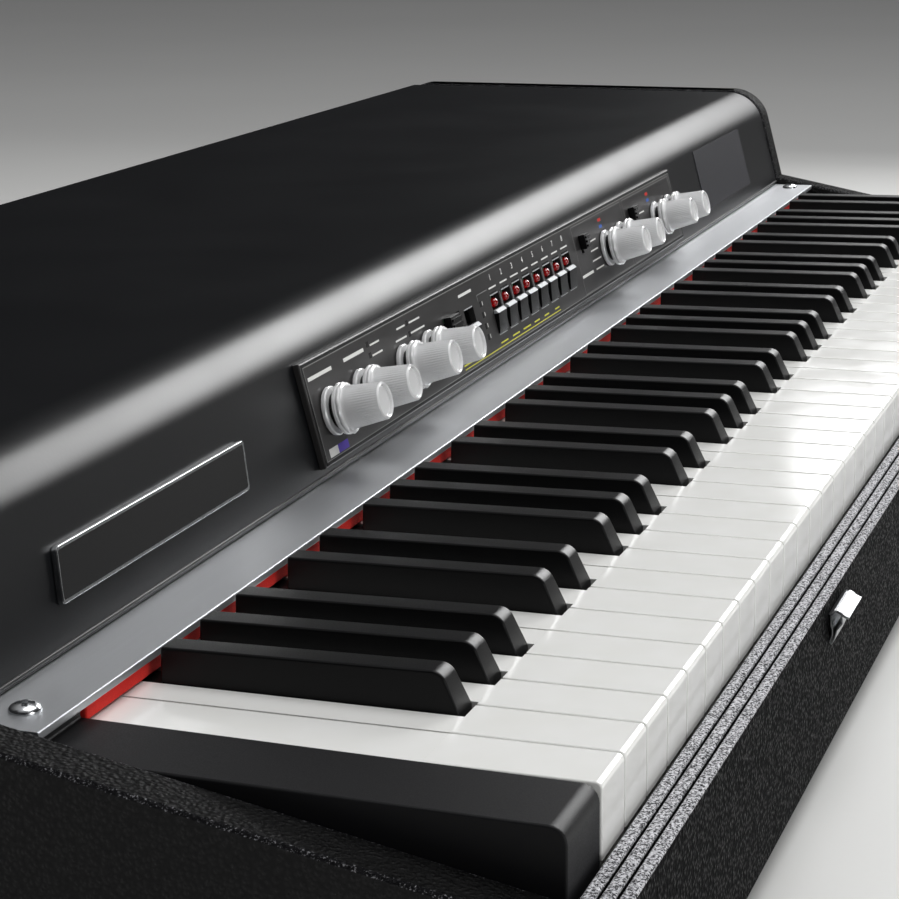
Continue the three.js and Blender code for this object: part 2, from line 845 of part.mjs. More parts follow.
// Wooden case
function frontBoard() {
  const ribWidth = (frontThickness - (ribCount - 1) * ribGrooveWidth) / ribCount;
  const corners = [[frontInner, -caseBottom]];
  for (let i = 0; i < ribCount; i += 1) {
    const ribStart = frontInner - i * (ribWidth + ribGrooveWidth);
    const ribEnd = ribStart - ribWidth;
    const startFoot = i === 0 ? -frontTop - ribRound : -frontTop - ribGrooveDepth;
    const endFoot = i === ribCount - 1 ? -frontTop - ribRound : -frontTop - ribGrooveDepth;
    if (i > 0) corners.push([ribStart, startFoot]);
    corners.push([ribStart, -frontTop, ribRound], [ribEnd, -frontTop, ribRound]);
    if (i < ribCount - 1) corners.push([ribEnd, endFoot]);
  }
  corners.push([-caseFront, -caseBottom]);
  return part('case_front', alongX(outline(corners.reverse()), innerLeft, innerWidth, 2), vinyl());
}

function bottomBoard() {
  const start = frontInner + fitGap;
  const section = rectangle(start, -caseBottom, backInner - fitGap - start, boardThickness);
  return part('case_bottom', alongX(section, innerLeft, innerWidth), vinyl());
}

const openingRight = innerRight - openingFromSide;
const openingLeft = openingRight - openingWidth;

function backBoard() {
  const top = coverTop - coverThickness - fitGap;
  const board = rectangle(innerLeft, -caseBottom, innerWidth, caseBottom + top);
  board.holes.push(rectangle(openingLeft, -openingFoot, openingWidth, openingHeight));
  return part('case_back', towardsFront(board, caseRear, boardThickness), vinyl());
}

function foot(name, x, y) {
  const profile = [
    [0, footRecess],
    [footRecessRadius, footRecess],
    [footRecessRadius, 0],
    [footRadius - fitGap, 0],
    [footRadius, fitGap * 2],
    [footTopRadius, footHeight - fitGap],
    [0, footHeight - fitGap],
  ];
  const mesh = part(name, turned(profile, 16), rubber());
  mesh.position.set(x, y, -caseBottom - footHeight);
  return mesh;
}

function feet() {
  const group = new THREE.Group();
  const columns = [['left', innerLeft + footInset], ['right', innerRight - footInset]];
  const rows = [['front', footInset - caseFront], ['rear', caseRear - footInset]];
  rows.forEach(([row, y]) => columns.forEach(([column, x]) => {
    group.add(foot(`foot_${row}_${column}`, x, y));
  }));
  return group;
}

// Curled catch plate over a hollow loop that narrows to a tail against the front board
function lidCatch(name, x) {
  const wall = -caseFront - fitGap;
  const crown = wall - catchReach * catchCrownShare;
  const lip = new THREE.Shape();
  lip.moveTo(wall, -catchTop - catchDrop / 2);
  lip.quadraticCurveTo(crown, -catchTop + catchSheet,
    wall - catchReach, -catchTop - catchDrop);
  lip.lineTo(wall - catchReach + catchSheet / 2, -catchTop - catchDrop - catchSheet);
  lip.quadraticCurveTo(crown, -catchTop - catchSheet,
    wall, -catchTop - catchDrop / 2 - 2 * catchSheet);

  const loopTop = -catchTop - catchDrop / 2 - catchSheet / 2;
  const loopFoot = loopTop - catchLoopHeight;
  const neck = loopTop - catchLoopHeight * catchNeckShare;
  const loopEnd = wall - catchLoopReach;
  const tail = wall - catchLoopSheet;
  const loop = new THREE.Shape();
  loop.moveTo(wall, loopTop);
  loop.lineTo(loopEnd, loopTop);
  loop.quadraticCurveTo(loopEnd, neck + catchSheet, tail - catchLoopSheet, neck);
  loop.lineTo(tail, loopFoot);
  loop.lineTo(wall, loopFoot);
  const hollow = new THREE.Path();
  const hollowEnd = loopEnd + catchLoopSheet;
  hollow.moveTo(tail, loopTop - catchSheet);
  hollow.lineTo(hollowEnd, loopTop - catchSheet);
  hollow.quadraticCurveTo(hollowEnd, neck + 2 * catchSheet, tail, neck + catchSheet);
  loop.holes.push(hollow);

  const inset = (catchWidth - catchLoopWidth) / 2;
  const curl = solidOf(alongX(lip, 0, catchWidth, 6));
  const body = curl.add(solidOf(alongX(loop, inset, catchLoopWidth, 5)));
  const mesh = part(name, body, chrome());
  mesh.position.x = x;
  return mesh;
}

// Steel key frame: a folded deck on two feet, with the front guide rail and the cradle
function keyFrame() {
  const rear = pivotFromFront + cradleHalfWidth;
  const deck = -frameDeckDepth;
  const under = deck - frameSheet;
  const ground = floorTop + fitGap;
  const footStart = -cheekToKeyGap + 2 * fitGap;
  const section = outline([
    [footStart, ground],
    [frameFront + frameSheet, ground],
    [frameFront + frameSheet, under],
    [rear - frameSheet, under],
    [rear - frameSheet, ground],
    [rear + frameFoot, ground],
    [rear + frameFoot, ground + frameSheet],
    [rear, ground + frameSheet],
    [rear, deck],
    [frameFront, deck],
    [frameFront, ground + frameSheet],
    [footStart, ground + frameSheet],
  ]);
  const full = innerWidth - 2 * frameSideGap;
  const solids = [solidOf(alongX(section, innerLeft + frameSideGap, full))];
  const inDeck = deck - frameSheet / 2;
  const guide = rectangle(guidePlace, inDeck, frameSheet, -guideTop - inDeck);
  solids.push(solidOf(alongX(guide, 0, keyboardWidth)));
  const seatRadius = barrelRadius + fitGap;
  const seatAngle = Math.asin((cradleTop - pivotDepth) / seatRadius);
  const cradle = new THREE.Shape();
  cradle.moveTo(pivotFromFront - cradleHalfWidth, inDeck);
  cradle.lineTo(pivotFromFront + cradleHalfWidth, inDeck);
  cradle.lineTo(pivotFromFront + cradleHalfWidth, -cradleTop);
  cradle.absarc(pivotFromFront, -pivotDepth, seatRadius, -seatAngle, Math.PI + seatAngle, true);
  cradle.lineTo(pivotFromFront - cradleHalfWidth, -cradleTop);
  solids.push(solidOf(alongX(cradle, 0, keyboardWidth, 4)));
  return part('key_frame', joined(solids), steel());
}

// Connector plate behind the opening in the back board. Its sockets sit on one line.
const plateOuter = backInner - fitGap;
const socketLine = -openingFoot + openingHeight / 2;
const socketPitch = openingWidth * socketPitchShare;
const inletPlace = openingRight - jackMargin - inletWidth / 2;
const rockerPlace = inletPlace - inletWidth - rockerWidth;

function cylinderToRear(x, radius, start, length, segments) {
  return solidOf(rod(radius, length, segments).rotateX(-Math.PI / 2)
    .translate(x, start, socketLine));
}

function block(x, width, height, outer, depth) {
  return solidOf(towardsFront(
    rectangle(x - width / 2, socketLine - height / 2, width, height),
    outer,
    depth,
  ));
}

function connectorPlate() {
  const plate = solidOf(towardsFront(
    rectangle(
      openingLeft - platePad,
      -openingFoot - platePad,
      openingWidth + 2 * platePad,
      openingHeight + 2 * platePad,
    ),
    plateOuter,
    frameSheet,
  ));
  const solids = [plate];
  const cuts = [];
  for (let i = 0; i < jackCount; i += 1) {
    const x = openingLeft + jackMargin + i * socketPitch;
    solids.push(block(x, jackBodyWidth, jackBodyWidth, plateOuter - fitGap, jackBodyDepth));
    solids.push(cylinderToRear(x, jackNutRadius, plateOuter - fitGap, jackNutHeight + fitGap, 8));
    cuts.push(cylinderToRear(x, jackHoleRadius, plateOuter - jackDepth, jackDepth + jackNutRadius, 8));
  }
  const digitalStart = openingLeft + jackMargin + jackCount * socketPitch;
  for (let i = 0; i < digitalSocketCount; i += 1) {
    const x = digitalStart + i * socketPitch;
    const rise = digitalSocketRise + fitGap;
    solids.push(cylinderToRear(x, digitalSocketRadius, plateOuter - fitGap, rise, 12));
  }
  const portPlace = digitalStart + digitalSocketCount * socketPitch;
  const wall = 2 * inletWall;
  solids.push(block(portPlace, dataPortWidth + wall, dataPortHeight + wall,
    plateOuter - fitGap, dataPortDepth + inletWall));
  cuts.push(block(portPlace, dataPortWidth, dataPortHeight,
    plateOuter + cutOverrun, dataPortDepth + cutOverrun));
  solids.push(block(inletPlace, inletWidth + wall, inletHeight + wall,
    plateOuter - fitGap, inletDepth + inletWall));
  cuts.push(block(inletPlace, inletWidth, inletHeight,
    plateOuter + cutOverrun, inletDepth + cutOverrun));
  cuts.push(block(rockerPlace, rockerWidth + 2 * fitGap, 2 * rockerSlotHalf,
    plateOuter + cutOverrun, frameSheet + 2 * cutOverrun));
  return part('connector_plate', cutBy(joined(solids), cuts), steel());
}

function powerSwitch() {
  const root = rockerRise;
  const section = outline([
    [-root, -rockerHalfHeight / 2],
    [0, -rockerHalfHeight],
    [rockerRise, -rockerHalfHeight],
    [rockerRise - rockerDish, 0],
    [rockerRise, rockerHalfHeight],
    [0, rockerHalfHeight],
    [-root, rockerHalfHeight / 2],
  ]);
  const mesh = part('power_switch', alongX(section, -rockerWidth / 2, rockerWidth), satinBlack());
  mesh.position.set(rockerPlace, plateOuter - frameSheet, socketLine);
  mesh.rotation.x = -rockerTilt;
  return mesh;
}

function mainBoard() {
  const start = backInner - mainBoardGap - mainBoardDepth;
  const ground = floorTop + fitGap;
  const deck = ground + standoffHeight;
  const solids = [solidOf(upFrom(
    rectangle(openingLeft, start, mainBoardWidth, mainBoardDepth, standoffRadius),
    deck,
    circuitThickness,
    2,
  ))];
  const leg = rod(standoffRadius, standoffHeight + circuitThickness / 2, 8);
  const ends = [openingLeft + standoffInset, openingLeft + mainBoardWidth - standoffInset];
  const rows = [start + standoffInset, start + mainBoardDepth - standoffInset];
  ends.forEach((x) => rows.forEach((y) => {
    solids.push(solidOf(leg.clone().translate(x, y, ground)));
  }));
  const chipStart = start + (mainBoardDepth - chipWidth) / 2;
  chipShares.forEach((share) => {
    const left = openingLeft + share * mainBoardWidth - chipWidth / 2;
    const chip = rectangle(left, chipStart, chipWidth, chipWidth);
    solids.push(solidOf(upFrom(chip, deck + circuitThickness / 2, chipHeight)));
  });
  return part('main_board', joined(solids), circuitGreen());
}

function powerSupply() {
  const start = backInner - mainBoardGap - supplyDepth;
  const ground = floorTop + fitGap;
  const end = start + supplyDepth;
  const section = outline([
    [start - supplyFlange, ground],
    [end + supplyFlange, ground],
    [end + supplyFlange, ground + frameSheet],
    [end, ground + frameSheet],
    [end, ground + supplyHeight, supplyRound],
    [start, ground + supplyHeight, supplyRound],
    [start, ground + frameSheet],
    [start - supplyFlange, ground + frameSheet],
  ]);
  return part('power_supply', alongX(section, supplyPlace, supplyWidth), steel());
}

const piano = new THREE.Group();
piano.add(
  keyboard(),
  feltStrip(),
  rail(),
  cheek('cheek_left', innerLeft),
  cheek('cheek_right', keyboardWidth + cheekToKeyGap),
  sidePanel('case_side_left', sideLeft),
  sidePanel('case_side_right', sideRight),
  cutTopCover(),
  coverFace(),
  frontBoard(),
  bottomBoard(),
  backBoard(),
  feet(),
  lidCatch('lid_catch_left', catchPlace),
  lidCatch('lid_catch_right', keyboardWidth - catchPlace - catchWidth),
  keyFrame(),
  connectorPlate(),
  powerSwitch(),
  mainBoard(),
  powerSupply(),
);
const frontmost = -caseFront - fitGap - catchReach;
piano.position.set(-middle, -(frontmost + caseRear) / 2, caseBottom + footHeight);

const model = new THREE.Group();
model.add(piano);

export default model;
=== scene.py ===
# %% [markdown]
# # A 73 key stage piano, dressed for the camera
# The solids of the piano are made elsewhere, in millimetres, and packed as a fixed model.
# This lesson loads that model and gives it its looks: finer keys, a smooth bent cover,
# clear knobs, lit buttons, printed lines, and a material for each real surface.
# Everything is in metres, in the model's own frame.

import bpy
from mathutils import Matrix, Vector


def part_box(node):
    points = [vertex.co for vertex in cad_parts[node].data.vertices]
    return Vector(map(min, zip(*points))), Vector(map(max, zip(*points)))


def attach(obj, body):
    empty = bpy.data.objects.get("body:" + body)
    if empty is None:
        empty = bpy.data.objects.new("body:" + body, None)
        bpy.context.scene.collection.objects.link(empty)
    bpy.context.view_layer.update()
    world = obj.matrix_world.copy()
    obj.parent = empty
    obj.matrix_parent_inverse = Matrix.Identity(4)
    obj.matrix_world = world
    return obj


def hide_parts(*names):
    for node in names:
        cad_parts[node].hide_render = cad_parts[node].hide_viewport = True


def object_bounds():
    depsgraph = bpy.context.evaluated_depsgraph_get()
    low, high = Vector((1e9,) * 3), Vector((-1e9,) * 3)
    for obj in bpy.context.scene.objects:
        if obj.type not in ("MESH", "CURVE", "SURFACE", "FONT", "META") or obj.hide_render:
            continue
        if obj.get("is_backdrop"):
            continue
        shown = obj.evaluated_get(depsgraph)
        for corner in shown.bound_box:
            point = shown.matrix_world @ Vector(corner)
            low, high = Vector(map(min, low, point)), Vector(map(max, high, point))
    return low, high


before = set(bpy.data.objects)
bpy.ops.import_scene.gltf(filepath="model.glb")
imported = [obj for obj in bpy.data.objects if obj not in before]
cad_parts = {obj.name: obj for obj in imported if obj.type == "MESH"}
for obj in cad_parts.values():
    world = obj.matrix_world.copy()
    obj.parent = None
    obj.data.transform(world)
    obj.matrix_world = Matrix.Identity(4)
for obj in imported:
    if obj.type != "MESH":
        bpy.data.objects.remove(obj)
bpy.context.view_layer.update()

# %% Tools from Blender and Python
import math

import bmesh
import bpy
from mathutils import Euler, Matrix, Vector, noise

MM = 0.001
print("Blender", bpy.app.version_string)

# %% [markdown]
# ## The camera
# The photograph looks along the keyboard from the bass end, just above the keys.
# Its place was worked out from the key spacing: the 43 white keys are 23.5 mm apart, and
# their front edges, the rail and the control panel all have to fall on the right pixels.
# It is measured from the left end of the keyboard, at the fronts and tops of the keys.

# %% Camera at the photograph's place
felt_low, key_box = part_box("felt_strip")[0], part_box("key_c_4")
KEYBOARD_CORNER = Vector((felt_low.x, key_box[0].y, key_box[1].z))
CAMERA_PLACE = KEYBOARD_CORNER + Vector((-0.57889, -0.16076, 0.24080))
CAMERA_TURN = (75.875, 0.614, -70.946)
CAMERA_LENS = 98.61
SENSOR_WIDTH = 36.0

camera_data = bpy.data.cameras.new("camera")
camera_data.lens = CAMERA_LENS
camera_data.sensor_width = SENSOR_WIDTH
camera_data.clip_start = 0.01
camera = bpy.data.objects.new("camera", camera_data)
camera.location = CAMERA_PLACE
camera.rotation_euler = Euler([math.radians(angle) for angle in CAMERA_TURN], "XYZ")
bpy.context.scene.collection.objects.link(camera)
bpy.context.scene.camera = camera
print("camera is", round((CAMERA_PLACE - KEYBOARD_CORNER).length, 2), "m from the lowest key")

# %% [markdown]
# ## Colours, nodes and patterns
# A colour is written as an sRGB hex value, as a painter would pick it from a screen, and
# one function turns it linear. One function adds any shader node with its settings and its
# links. A pattern reads the piece's own Object coordinates, so its size on the real
# surface is known in millimetres, and it stays put when a key or a knob moves.

# %% Colour and node helpers
def linear(hex_colour):
    """An sRGB hex such as "#c9cbce" as the linear RGBA that a socket holds."""
    shares = [int(hex_colour[i:i + 2], 16) / 255 for i in (1, 3, 5)]
    return (*[s / 12.92 if s <= 0.04045 else ((s + 0.055) / 1.055) ** 2.4 for s in shares], 1.0)


def node(material, kind, settings=None, links=None):
    """Adds a shader node. Settings name its properties or sockets, links feed its sockets."""
    tree = material.node_tree
    made = tree.nodes.new(kind)
    for name, value in (settings or {}).items():
        if isinstance(name, int) or name in made.inputs.keys():
            made.inputs[name].default_value = value
        else:
            setattr(made, name, value)
    for name, source in (links or {}).items():
        tree.links.new(source, made.inputs[name])
    return made


def finish(name, colour, roughness, settings=None):
    """A material with its shader set to a plain colour, roughness and other sockets."""
    material = bpy.data.materials.new(name)
    material.use_nodes = True
    shader = material.node_tree.nodes["Principled BSDF"]
    shader.inputs["Base Color"].default_value = linear(colour)
    shader.inputs["Roughness"].default_value = roughness
    for socket, value in (settings or {}).items():
        shader.inputs[socket].default_value = value
    return material


def feed(material, socket, source):
    """Links a node's output to a socket of the material's shader."""
    shader = material.node_tree.nodes["Principled BSDF"]
    material.node_tree.links.new(source, shader.inputs[socket])


print("a mid grey is", [round(share, 3) for share in linear("#808080")])

# %% Pattern helpers
def pattern(material, kind, across, settings=None, stretch=(1, 1, 1), turn=(0, 0, 0)):
    """A texture node whose features are so many millimetres across on the real surface."""
    place = node(material, "ShaderNodeTexCoord")
    mapped = node(
        material, "ShaderNodeMapping", {"Scale": stretch, "Rotation": turn},
        {"Vector": place.outputs["Object"]},
    )
    looks = {"Scale": 1 / (across * MM), **(settings or {})}
    return node(material, kind, looks, {"Vector": mapped.outputs["Vector"]})


def relief(material, height, depth, under=None):
    """Bump so many millimetres deep, on top of another bump where one is given."""
    links = {"Height": height}
    if under is not None:
        links["Normal"] = under.outputs["Normal"]
    bump = node(material, "ShaderNodeBump", {"Distance": depth * MM}, links)
    feed(material, "Normal", bump.outputs["Normal"])
    return bump


def spread(material, source, socket, low, high, start=0.3, end=0.7):
    """A pattern as a value that goes from low to high on one socket of the shader."""
    levels = {"From Min": start, "From Max": end, "To Min": low, "To Max": high}
    span = node(material, "ShaderNodeMapRange", levels, {"Value": source})
    feed(material, socket, span.outputs["Result"])


def two_tone(material, source, dark, light):
    """Two close tones of one colour, mixed by a pattern."""
    tones = {"data_type": "RGBA", 6: linear(dark), 7: linear(light)}
    mix = node(material, "ShaderNodeMix", tones, {0: source})
    feed(material, "Base Color", mix.outputs[2])


def grain(material, kind, across, settings=None, depth=None, rough=None, tones=None, **place):
    """A pattern with what it does to a surface: relief in mm, roughness, two tones."""
    made = pattern(material, kind, across, settings, **place)
    source = made.outputs["Fac" if "Fac" in made.outputs.keys() else "Distance"]
    if depth is not None:
        relief(material, source, depth)
    if rough is not None:
        spread(material, source, "Roughness", *rough)
    if tones is not None:
        two_tone(material, source, *tones)


print("patterns are drawn at real size: 1 mm is a scale of", 1 / MM)

# %% [markdown]
# ## Materials of the keyboard
# White key tops are moulded in acrylic and polished, so they show soft, clear reflections
# with a very slight waviness. Black keys are moulded ABS with a fine matt texture, which
# turns the same light into a grey sheen on their tops and leaves their sides near black.

# %% Key materials
white_acrylic = finish("moulded white acrylic", "#ebebe8", 0.13, {"IOR": 1.49})
grain(white_acrylic, "ShaderNodeTexNoise", 14, {"Detail": 1.0},
      depth=0.05, rough=(0.10, 0.17), tones=("#e8e8e4", "#eeeeec"))

black_abs = finish(
    "matt moulded black ABS", "#080809", 0.36, {"IOR": 1.5, "Specular IOR Level": 0.22}
)
# The mould's spark eroded texture is about 0.15 mm; it is drawn at 0.35 mm so that it shows
grain(black_abs, "ShaderNodeTexNoise", 0.35, {"Detail": 3.0},
      depth=0.012, rough=(0.30, 0.42), tones=("#040405", "#080809"))
print("made", white_acrylic.name, "and", black_abs.name)

# %% [markdown]
# ## Materials of the case
# The case is wood under black grained vinyl. Its pebbles are a little over a millimetre
# wide and their tops are shiny, and light specks painted on them glint one by one. The bent
# cover has a satin powder coat with a faint orange peel. The rail is extruded aluminium,
# brushed along its length and anodised, which stretches its highlights across the brushing.

# %% Vinyl, powder coat and anodised aluminium
def grained_vinyl(name, dark, light, painted_glint_from, glint, dull, gloss=0.04):
    """Pebbled vinyl cloth with painted glints: light specks where the crease pattern passes a
    threshold, the rest stays dark.
    """
    vinyl = finish(name, dark, dull, {"IOR": 1.5, "Specular IOR Level": gloss})
    pebbles = pattern(
        vinyl, "ShaderNodeTexVoronoi", 1.5, {"feature": "SMOOTH_F1", "Smoothness": 0.35}
    )
    creases = pattern(vinyl, "ShaderNodeTexNoise", 0.7, {"Detail": 4.0, "Roughness": 0.65})
    coarse = relief(vinyl, pebbles.outputs["Distance"], -0.6)
    relief(vinyl, creases.outputs["Fac"], 0.2, coarse)
    spread(vinyl, pebbles.outputs["Distance"], "Roughness", glint, dull, 0.1, 0.6)
    # The light specks stand in for glints of light on the pebble tops: painted highlights.
    glint_range = {"From Min": painted_glint_from, "From Max": painted_glint_from + 0.12}
    painted_glints = node(vinyl, "ShaderNodeMapRange", glint_range, {"Value": creases.outputs["Fac"]})
    two_tone(vinyl, painted_glints.outputs["Result"], dark, light)
    return vinyl


# The front board's vinyl is a shaded copy of the lit vinyl below: its darker base and almost no
# gloss paint the shade that the front stands in.
shaded_front_vinyl = grained_vinyl("black grained vinyl", "#020203", "#4a4a4c", 0.72, 0.3, 0.8)
board_vinyl = grained_vinyl(
    "black grained vinyl, lit side", "#0b0b0c", "#4a4a4c", 0.66, 0.3, 0.7, gloss=0.25
)
# Paler copies for the rounded side edges and the rib crests: their lighter base and dense light
# specks are painted glints and sheen.
edge_glint_vinyl = grained_vinyl("vinyl with painted edge glints", "#1c1c1e", "#a8a8ac", 0.56, 0.3, 0.7)
rib_sheen_vinyl = grained_vinyl("vinyl with painted rib sheen", "#2e2e30", "#ccccd0", 0.44, 0.3, 0.6)

cover_paint = finish(
    "satin black powder coat", "#0b0c0e", 0.34, {"IOR": 1.45, "Specular IOR Level": 0.35}
)
# Powder coat flows into low lumps about 1.2 mm wide and a few microns high
grain(cover_paint, "ShaderNodeTexNoise", 1.2, {"Detail": 2.0}, depth=0.012)
grain(cover_paint, "ShaderNodeTexNoise", 60, {"Detail": 2.0},
      rough=(0.33, 0.36), tones=("#0a0b0d", "#0d0e10"))

anodised = finish("brushed anodised aluminium", "#c4c6c9", 0.46, {"Metallic": 1.0})
# Brush lines are 0.2 mm apart and run along the keyboard for centimetres
grain(anodised, "ShaderNodeTexNoise", 0.25, {"Detail": 4.0}, depth=0.008,
      rough=(0.42, 0.52), tones=("#aaacaf", "#bfc1c4"), stretch=(0.004, 1, 1))
print("made", [made.name for made in (shaded_front_vinyl, rib_sheen_vinyl, cover_paint, anodised)])

# %% Moulded black plastic, felt and rubber
satin_black = finish(
    "satin black lacquer", "#101012", 0.45, {"IOR": 1.5, "Specular IOR Level": 0.2}
)
grain(satin_black, "ShaderNodeTexNoise", 0.4, {"Detail": 3.0},
      depth=0.012, rough=(0.40, 0.52), tones=("#0c0c0e", "#111113"))

# Pressed wool: short fibres about 0.3 mm wide lie every way, and catch light at the edge
wool_felt = finish(
    "red wool felt", "#dc160d", 0.95,
    {"Sheen Weight": 0.1, "Sheen Roughness": 0.5, "Sheen Tint": linear("#ff6a5a")},
)
grain(wool_felt, "ShaderNodeTexNoise", 0.35, {"Detail": 5.0, "Distortion": 1.5},
      depth=0.25, tones=("#b8110a", "#ea2a1e"), stretch=(0.5, 1, 1))

foot_rubber = finish("black moulded rubber", "#141414", 0.8, {"IOR": 1.52})
grain(foot_rubber, "ShaderNodeTexNoise", 1.5, {"Detail": 4.0},
      depth=0.05, rough=(0.7, 0.9), tones=("#101010", "#1c1c1b"))
print("made", satin_black.name, ",", wool_felt.name, "and", foot_rubber.name)

# %% [markdown]
# ## Materials of the controls
# The panel is smoked grey acrylic, satin and printed on its face. The knobs are turned from
# clear acrylic with fine flutes: so many small facets scatter the light that they look
# frosted white. Chrome keeps a mirror finish with the faintest polishing haze, and the
# catches have a duller, satin chrome.

# %% Acrylics, chrome and zinc
smoked_acrylic = finish(
    "smoked acrylic", "#2c2b2b", 0.34, {"IOR": 1.49, "Specular IOR Level": 0.3}
)
grain(smoked_acrylic, "ShaderNodeTexNoise", 25, {"Detail": 2.0},
      rough=(0.32, 0.38), tones=("#2a2929", "#2f2e2e"))

clear_acrylic = finish(
    "clear turned acrylic", "#fafbfc", 0.2,
    {"IOR": 1.49, "Transmission Weight": 0.35, "Subsurface Weight": 0.5,
     "Subsurface Radius": (1.0, 1.0, 1.0), "Subsurface Scale": 5 * MM,
     "Coat Weight": 0.8, "Coat Roughness": 0.05},
)
grain(clear_acrylic, "ShaderNodeTexNoise", 0.6, {"Detail": 2.0}, depth=0.03, rough=(0.14, 0.26))

chrome = finish("polished chrome", "#d4d6d8", 0.2, {"Metallic": 1.0})
grain(chrome, "ShaderNodeTexNoise", 3, {"Detail": 3.0},
      rough=(0.16, 0.26), tones=("#bdbfc1", "#d9dbdd"))

satin_chrome = finish("satin chrome", "#a2a4a6", 0.32, {"Metallic": 1.0})
grain(satin_chrome, "ShaderNodeTexNoise", 0.8, {"Detail": 3.0},
      rough=(0.28, 0.4), tones=("#8e9092", "#b0b2b4"))

zinc = finish("zinc plated steel", "#a3a5a4", 0.4, {"Metallic": 1.0})
grain(zinc, "ShaderNodeTexVoronoi", 6, rough=(0.34, 0.5, 0, 1), tones=("#9b9d9b", "#b2b4b2"))
print("made", [made.name for made in (smoked_acrylic, clear_acrylic, chrome, satin_chrome, zinc)])

# %% Circuit board, lamps and inks
# Glass fibre board: a green mask over a weave of 0.8 mm yarns
circuit = finish("green circuit board", "#173f26", 0.4, {"IOR": 1.5})
grain(circuit, "ShaderNodeTexChecker", 0.8, depth=0.03)
grain(circuit, "ShaderNodeTexVoronoi", 5, {"distance": "MANHATTAN"},
      tones=("#12331e", "#2a6a41"))

red_lens = finish(
    "red lamp lens", "#8e0a0d", 0.1,
    {"IOR": 1.5, "Transmission Weight": 0.3, "Emission Color": linear("#d00c0c"),
     "Emission Strength": 0.08, "Coat Weight": 1.0},
)
grain(red_lens, "ShaderNodeTexNoise", 0.8, rough=(0.08, 0.2), tones=("#6c0608", "#9c1013"))

light_bar = finish("translucent grey plastic", "#b4b7b9", 0.4, {"Specular IOR Level": 0.2})
grain(light_bar, "ShaderNodeTexNoise", 0.5, depth=0.02, tones=("#989b9d", "#a9acae"))


def ink(name, dark, light):
    """Screen printing ink: matt, with the slight mottle of a print 0.05 mm thick."""
    material = finish(name, light, 0.55, {"Specular IOR Level": 0.15})
    grain(material, "ShaderNodeTexNoise", 0.4, {"Detail": 2.0}, depth=0.01, tones=(dark, light))
    return material


white_ink = ink("white printing ink", "#c9c9c6", "#e4e4e1")
grey_ink = ink("grey printing ink", "#6c6c6b", "#7d7d7c")
black_ink = ink("black printing ink", "#0b0b0b", "#131313")
yellow_ink = ink("yellow printing ink", "#b3b23a", "#d2d04c")
red_ink = ink("red printing ink", "#a8231d", "#c4322a")
blue_ink = ink("blue printing ink", "#2d4f9c", "#3f66b8")
violet_ink = ink("violet printing ink", "#4b3a94", "#5f4cb0")
dark_foil = ink("dark grey foil", "#26262a", "#2c2c30")
print("made", circuit.name, ",", red_lens.name, ",", light_bar.name, "and eight inks")

# %% [markdown]
# ## Building with bmesh
# New pieces are measured in millimetres in one of two frames. The key frame starts at the
# left end of the keyboard, at the fronts and tops of the white keys. The face frame lies on
# the leaning face of the cover: X along it, Y up it and Z straight out of it. A matrix takes
# a finished shape from its frame into the model's metres, so its object needs no turn.

# %% The two frames
COVER_FOOT = 170.3
COVER_FOOT_HEIGHT = 9.1
COVER_LEAN = math.radians(14.74)

KEY_FRAME = Matrix.Translation(KEYBOARD_CORNER) @ Matrix.Scale(MM, 4)
FACE_FRAME = (
    KEY_FRAME
    @ Matrix.Translation((0, COVER_FOOT, COVER_FOOT_HEIGHT))
    @ Matrix.Rotation(math.pi / 2 - COVER_LEAN, 4, "X")
)
print("the keyboard starts at", [round(side, 4) for side in KEY_FRAME.translation])

# %% Shapes from few vertices
NEAR = 1e-4


def block(bm, low, high):
    """A box between two corners."""
    low, high = Vector(low), Vector(high)
    place = Matrix.Translation((low + high) / 2) @ Matrix.Diagonal((*(high - low), 1))
    bmesh.ops.create_cube(bm, size=1, matrix=place)


def prism(bm, corners, start, end):
    """A closed solid: corners across the X axis, run from start to end along it."""
    face = bm.faces.new([bm.verts.new((start, y, z)) for y, z in corners])
    grown = bmesh.ops.extrude_face_region(bm, geom=[face])
    moved = [item for item in grown["geom"] if isinstance(item, bmesh.types.BMVert)]
    bmesh.ops.translate(bm, verts=moved, vec=(end - start, 0, 0))


def strip(bm, corners, start, end):
    """An open sheet: corners joined across the X axis, run from start to end along it."""
    spots = [bm.verts.new((start, y, z)) for y, z in corners]
    edges = [bm.edges.new(pair) for pair in zip(spots, spots[1:])]
    run = bmesh.ops.extrude_edge_only(bm, edges=edges)
    moved = [item for item in run["geom"] if isinstance(item, bmesh.types.BMVert)]
    bmesh.ops.translate(bm, verts=moved, vec=(end - start, 0, 0))


def cylinder(bm, radius, depth, segments, place):
    """A closed cylinder about the Z axis of its place."""
    bmesh.ops.create_cone(bm, cap_ends=True, segments=segments, radius1=radius,
                          radius2=radius, depth=depth, matrix=place)


def edges_where(bm, test):
    """Edges whose two ends both pass a test on their place."""
    return [edge for edge in bm.edges if all(test(vert.co) for vert in edge.verts)]


def rounded(bm, edges, offset, segments):
    """Rounds edges with a circular bevel."""
    bmesh.ops.bevel(
        bm, geom=edges, offset=offset, offset_type="OFFSET", segments=segments,
        profile=0.5, affect="EDGES", material=-1, clamp_overlap=True,
    )


def sharp_edges(bm, angle=30):
    """Edges where two faces meet at more than so many degrees."""
    limit = math.radians(angle)
    return [edge for edge in bm.edges if edge.is_manifold and edge.calc_face_angle() > limit]


def turned(bm, profile, steps):
    """A round solid about +Z from a profile of (radius, height) that starts and ends on it."""
    spots = [bm.verts.new((radius, 0, height)) for radius, height in profile]
    lines = [bm.edges.new(pair) for pair in zip(spots, spots[1:])]
    bmesh.ops.spin(
        bm, geom=spots + lines, cent=(0, 0, 0), axis=(0, 0, 1), angle=2 * math.pi,
        steps=steps, use_merge=True,
    )
    bmesh.ops.remove_doubles(bm, verts=bm.verts[:], dist=NEAR)


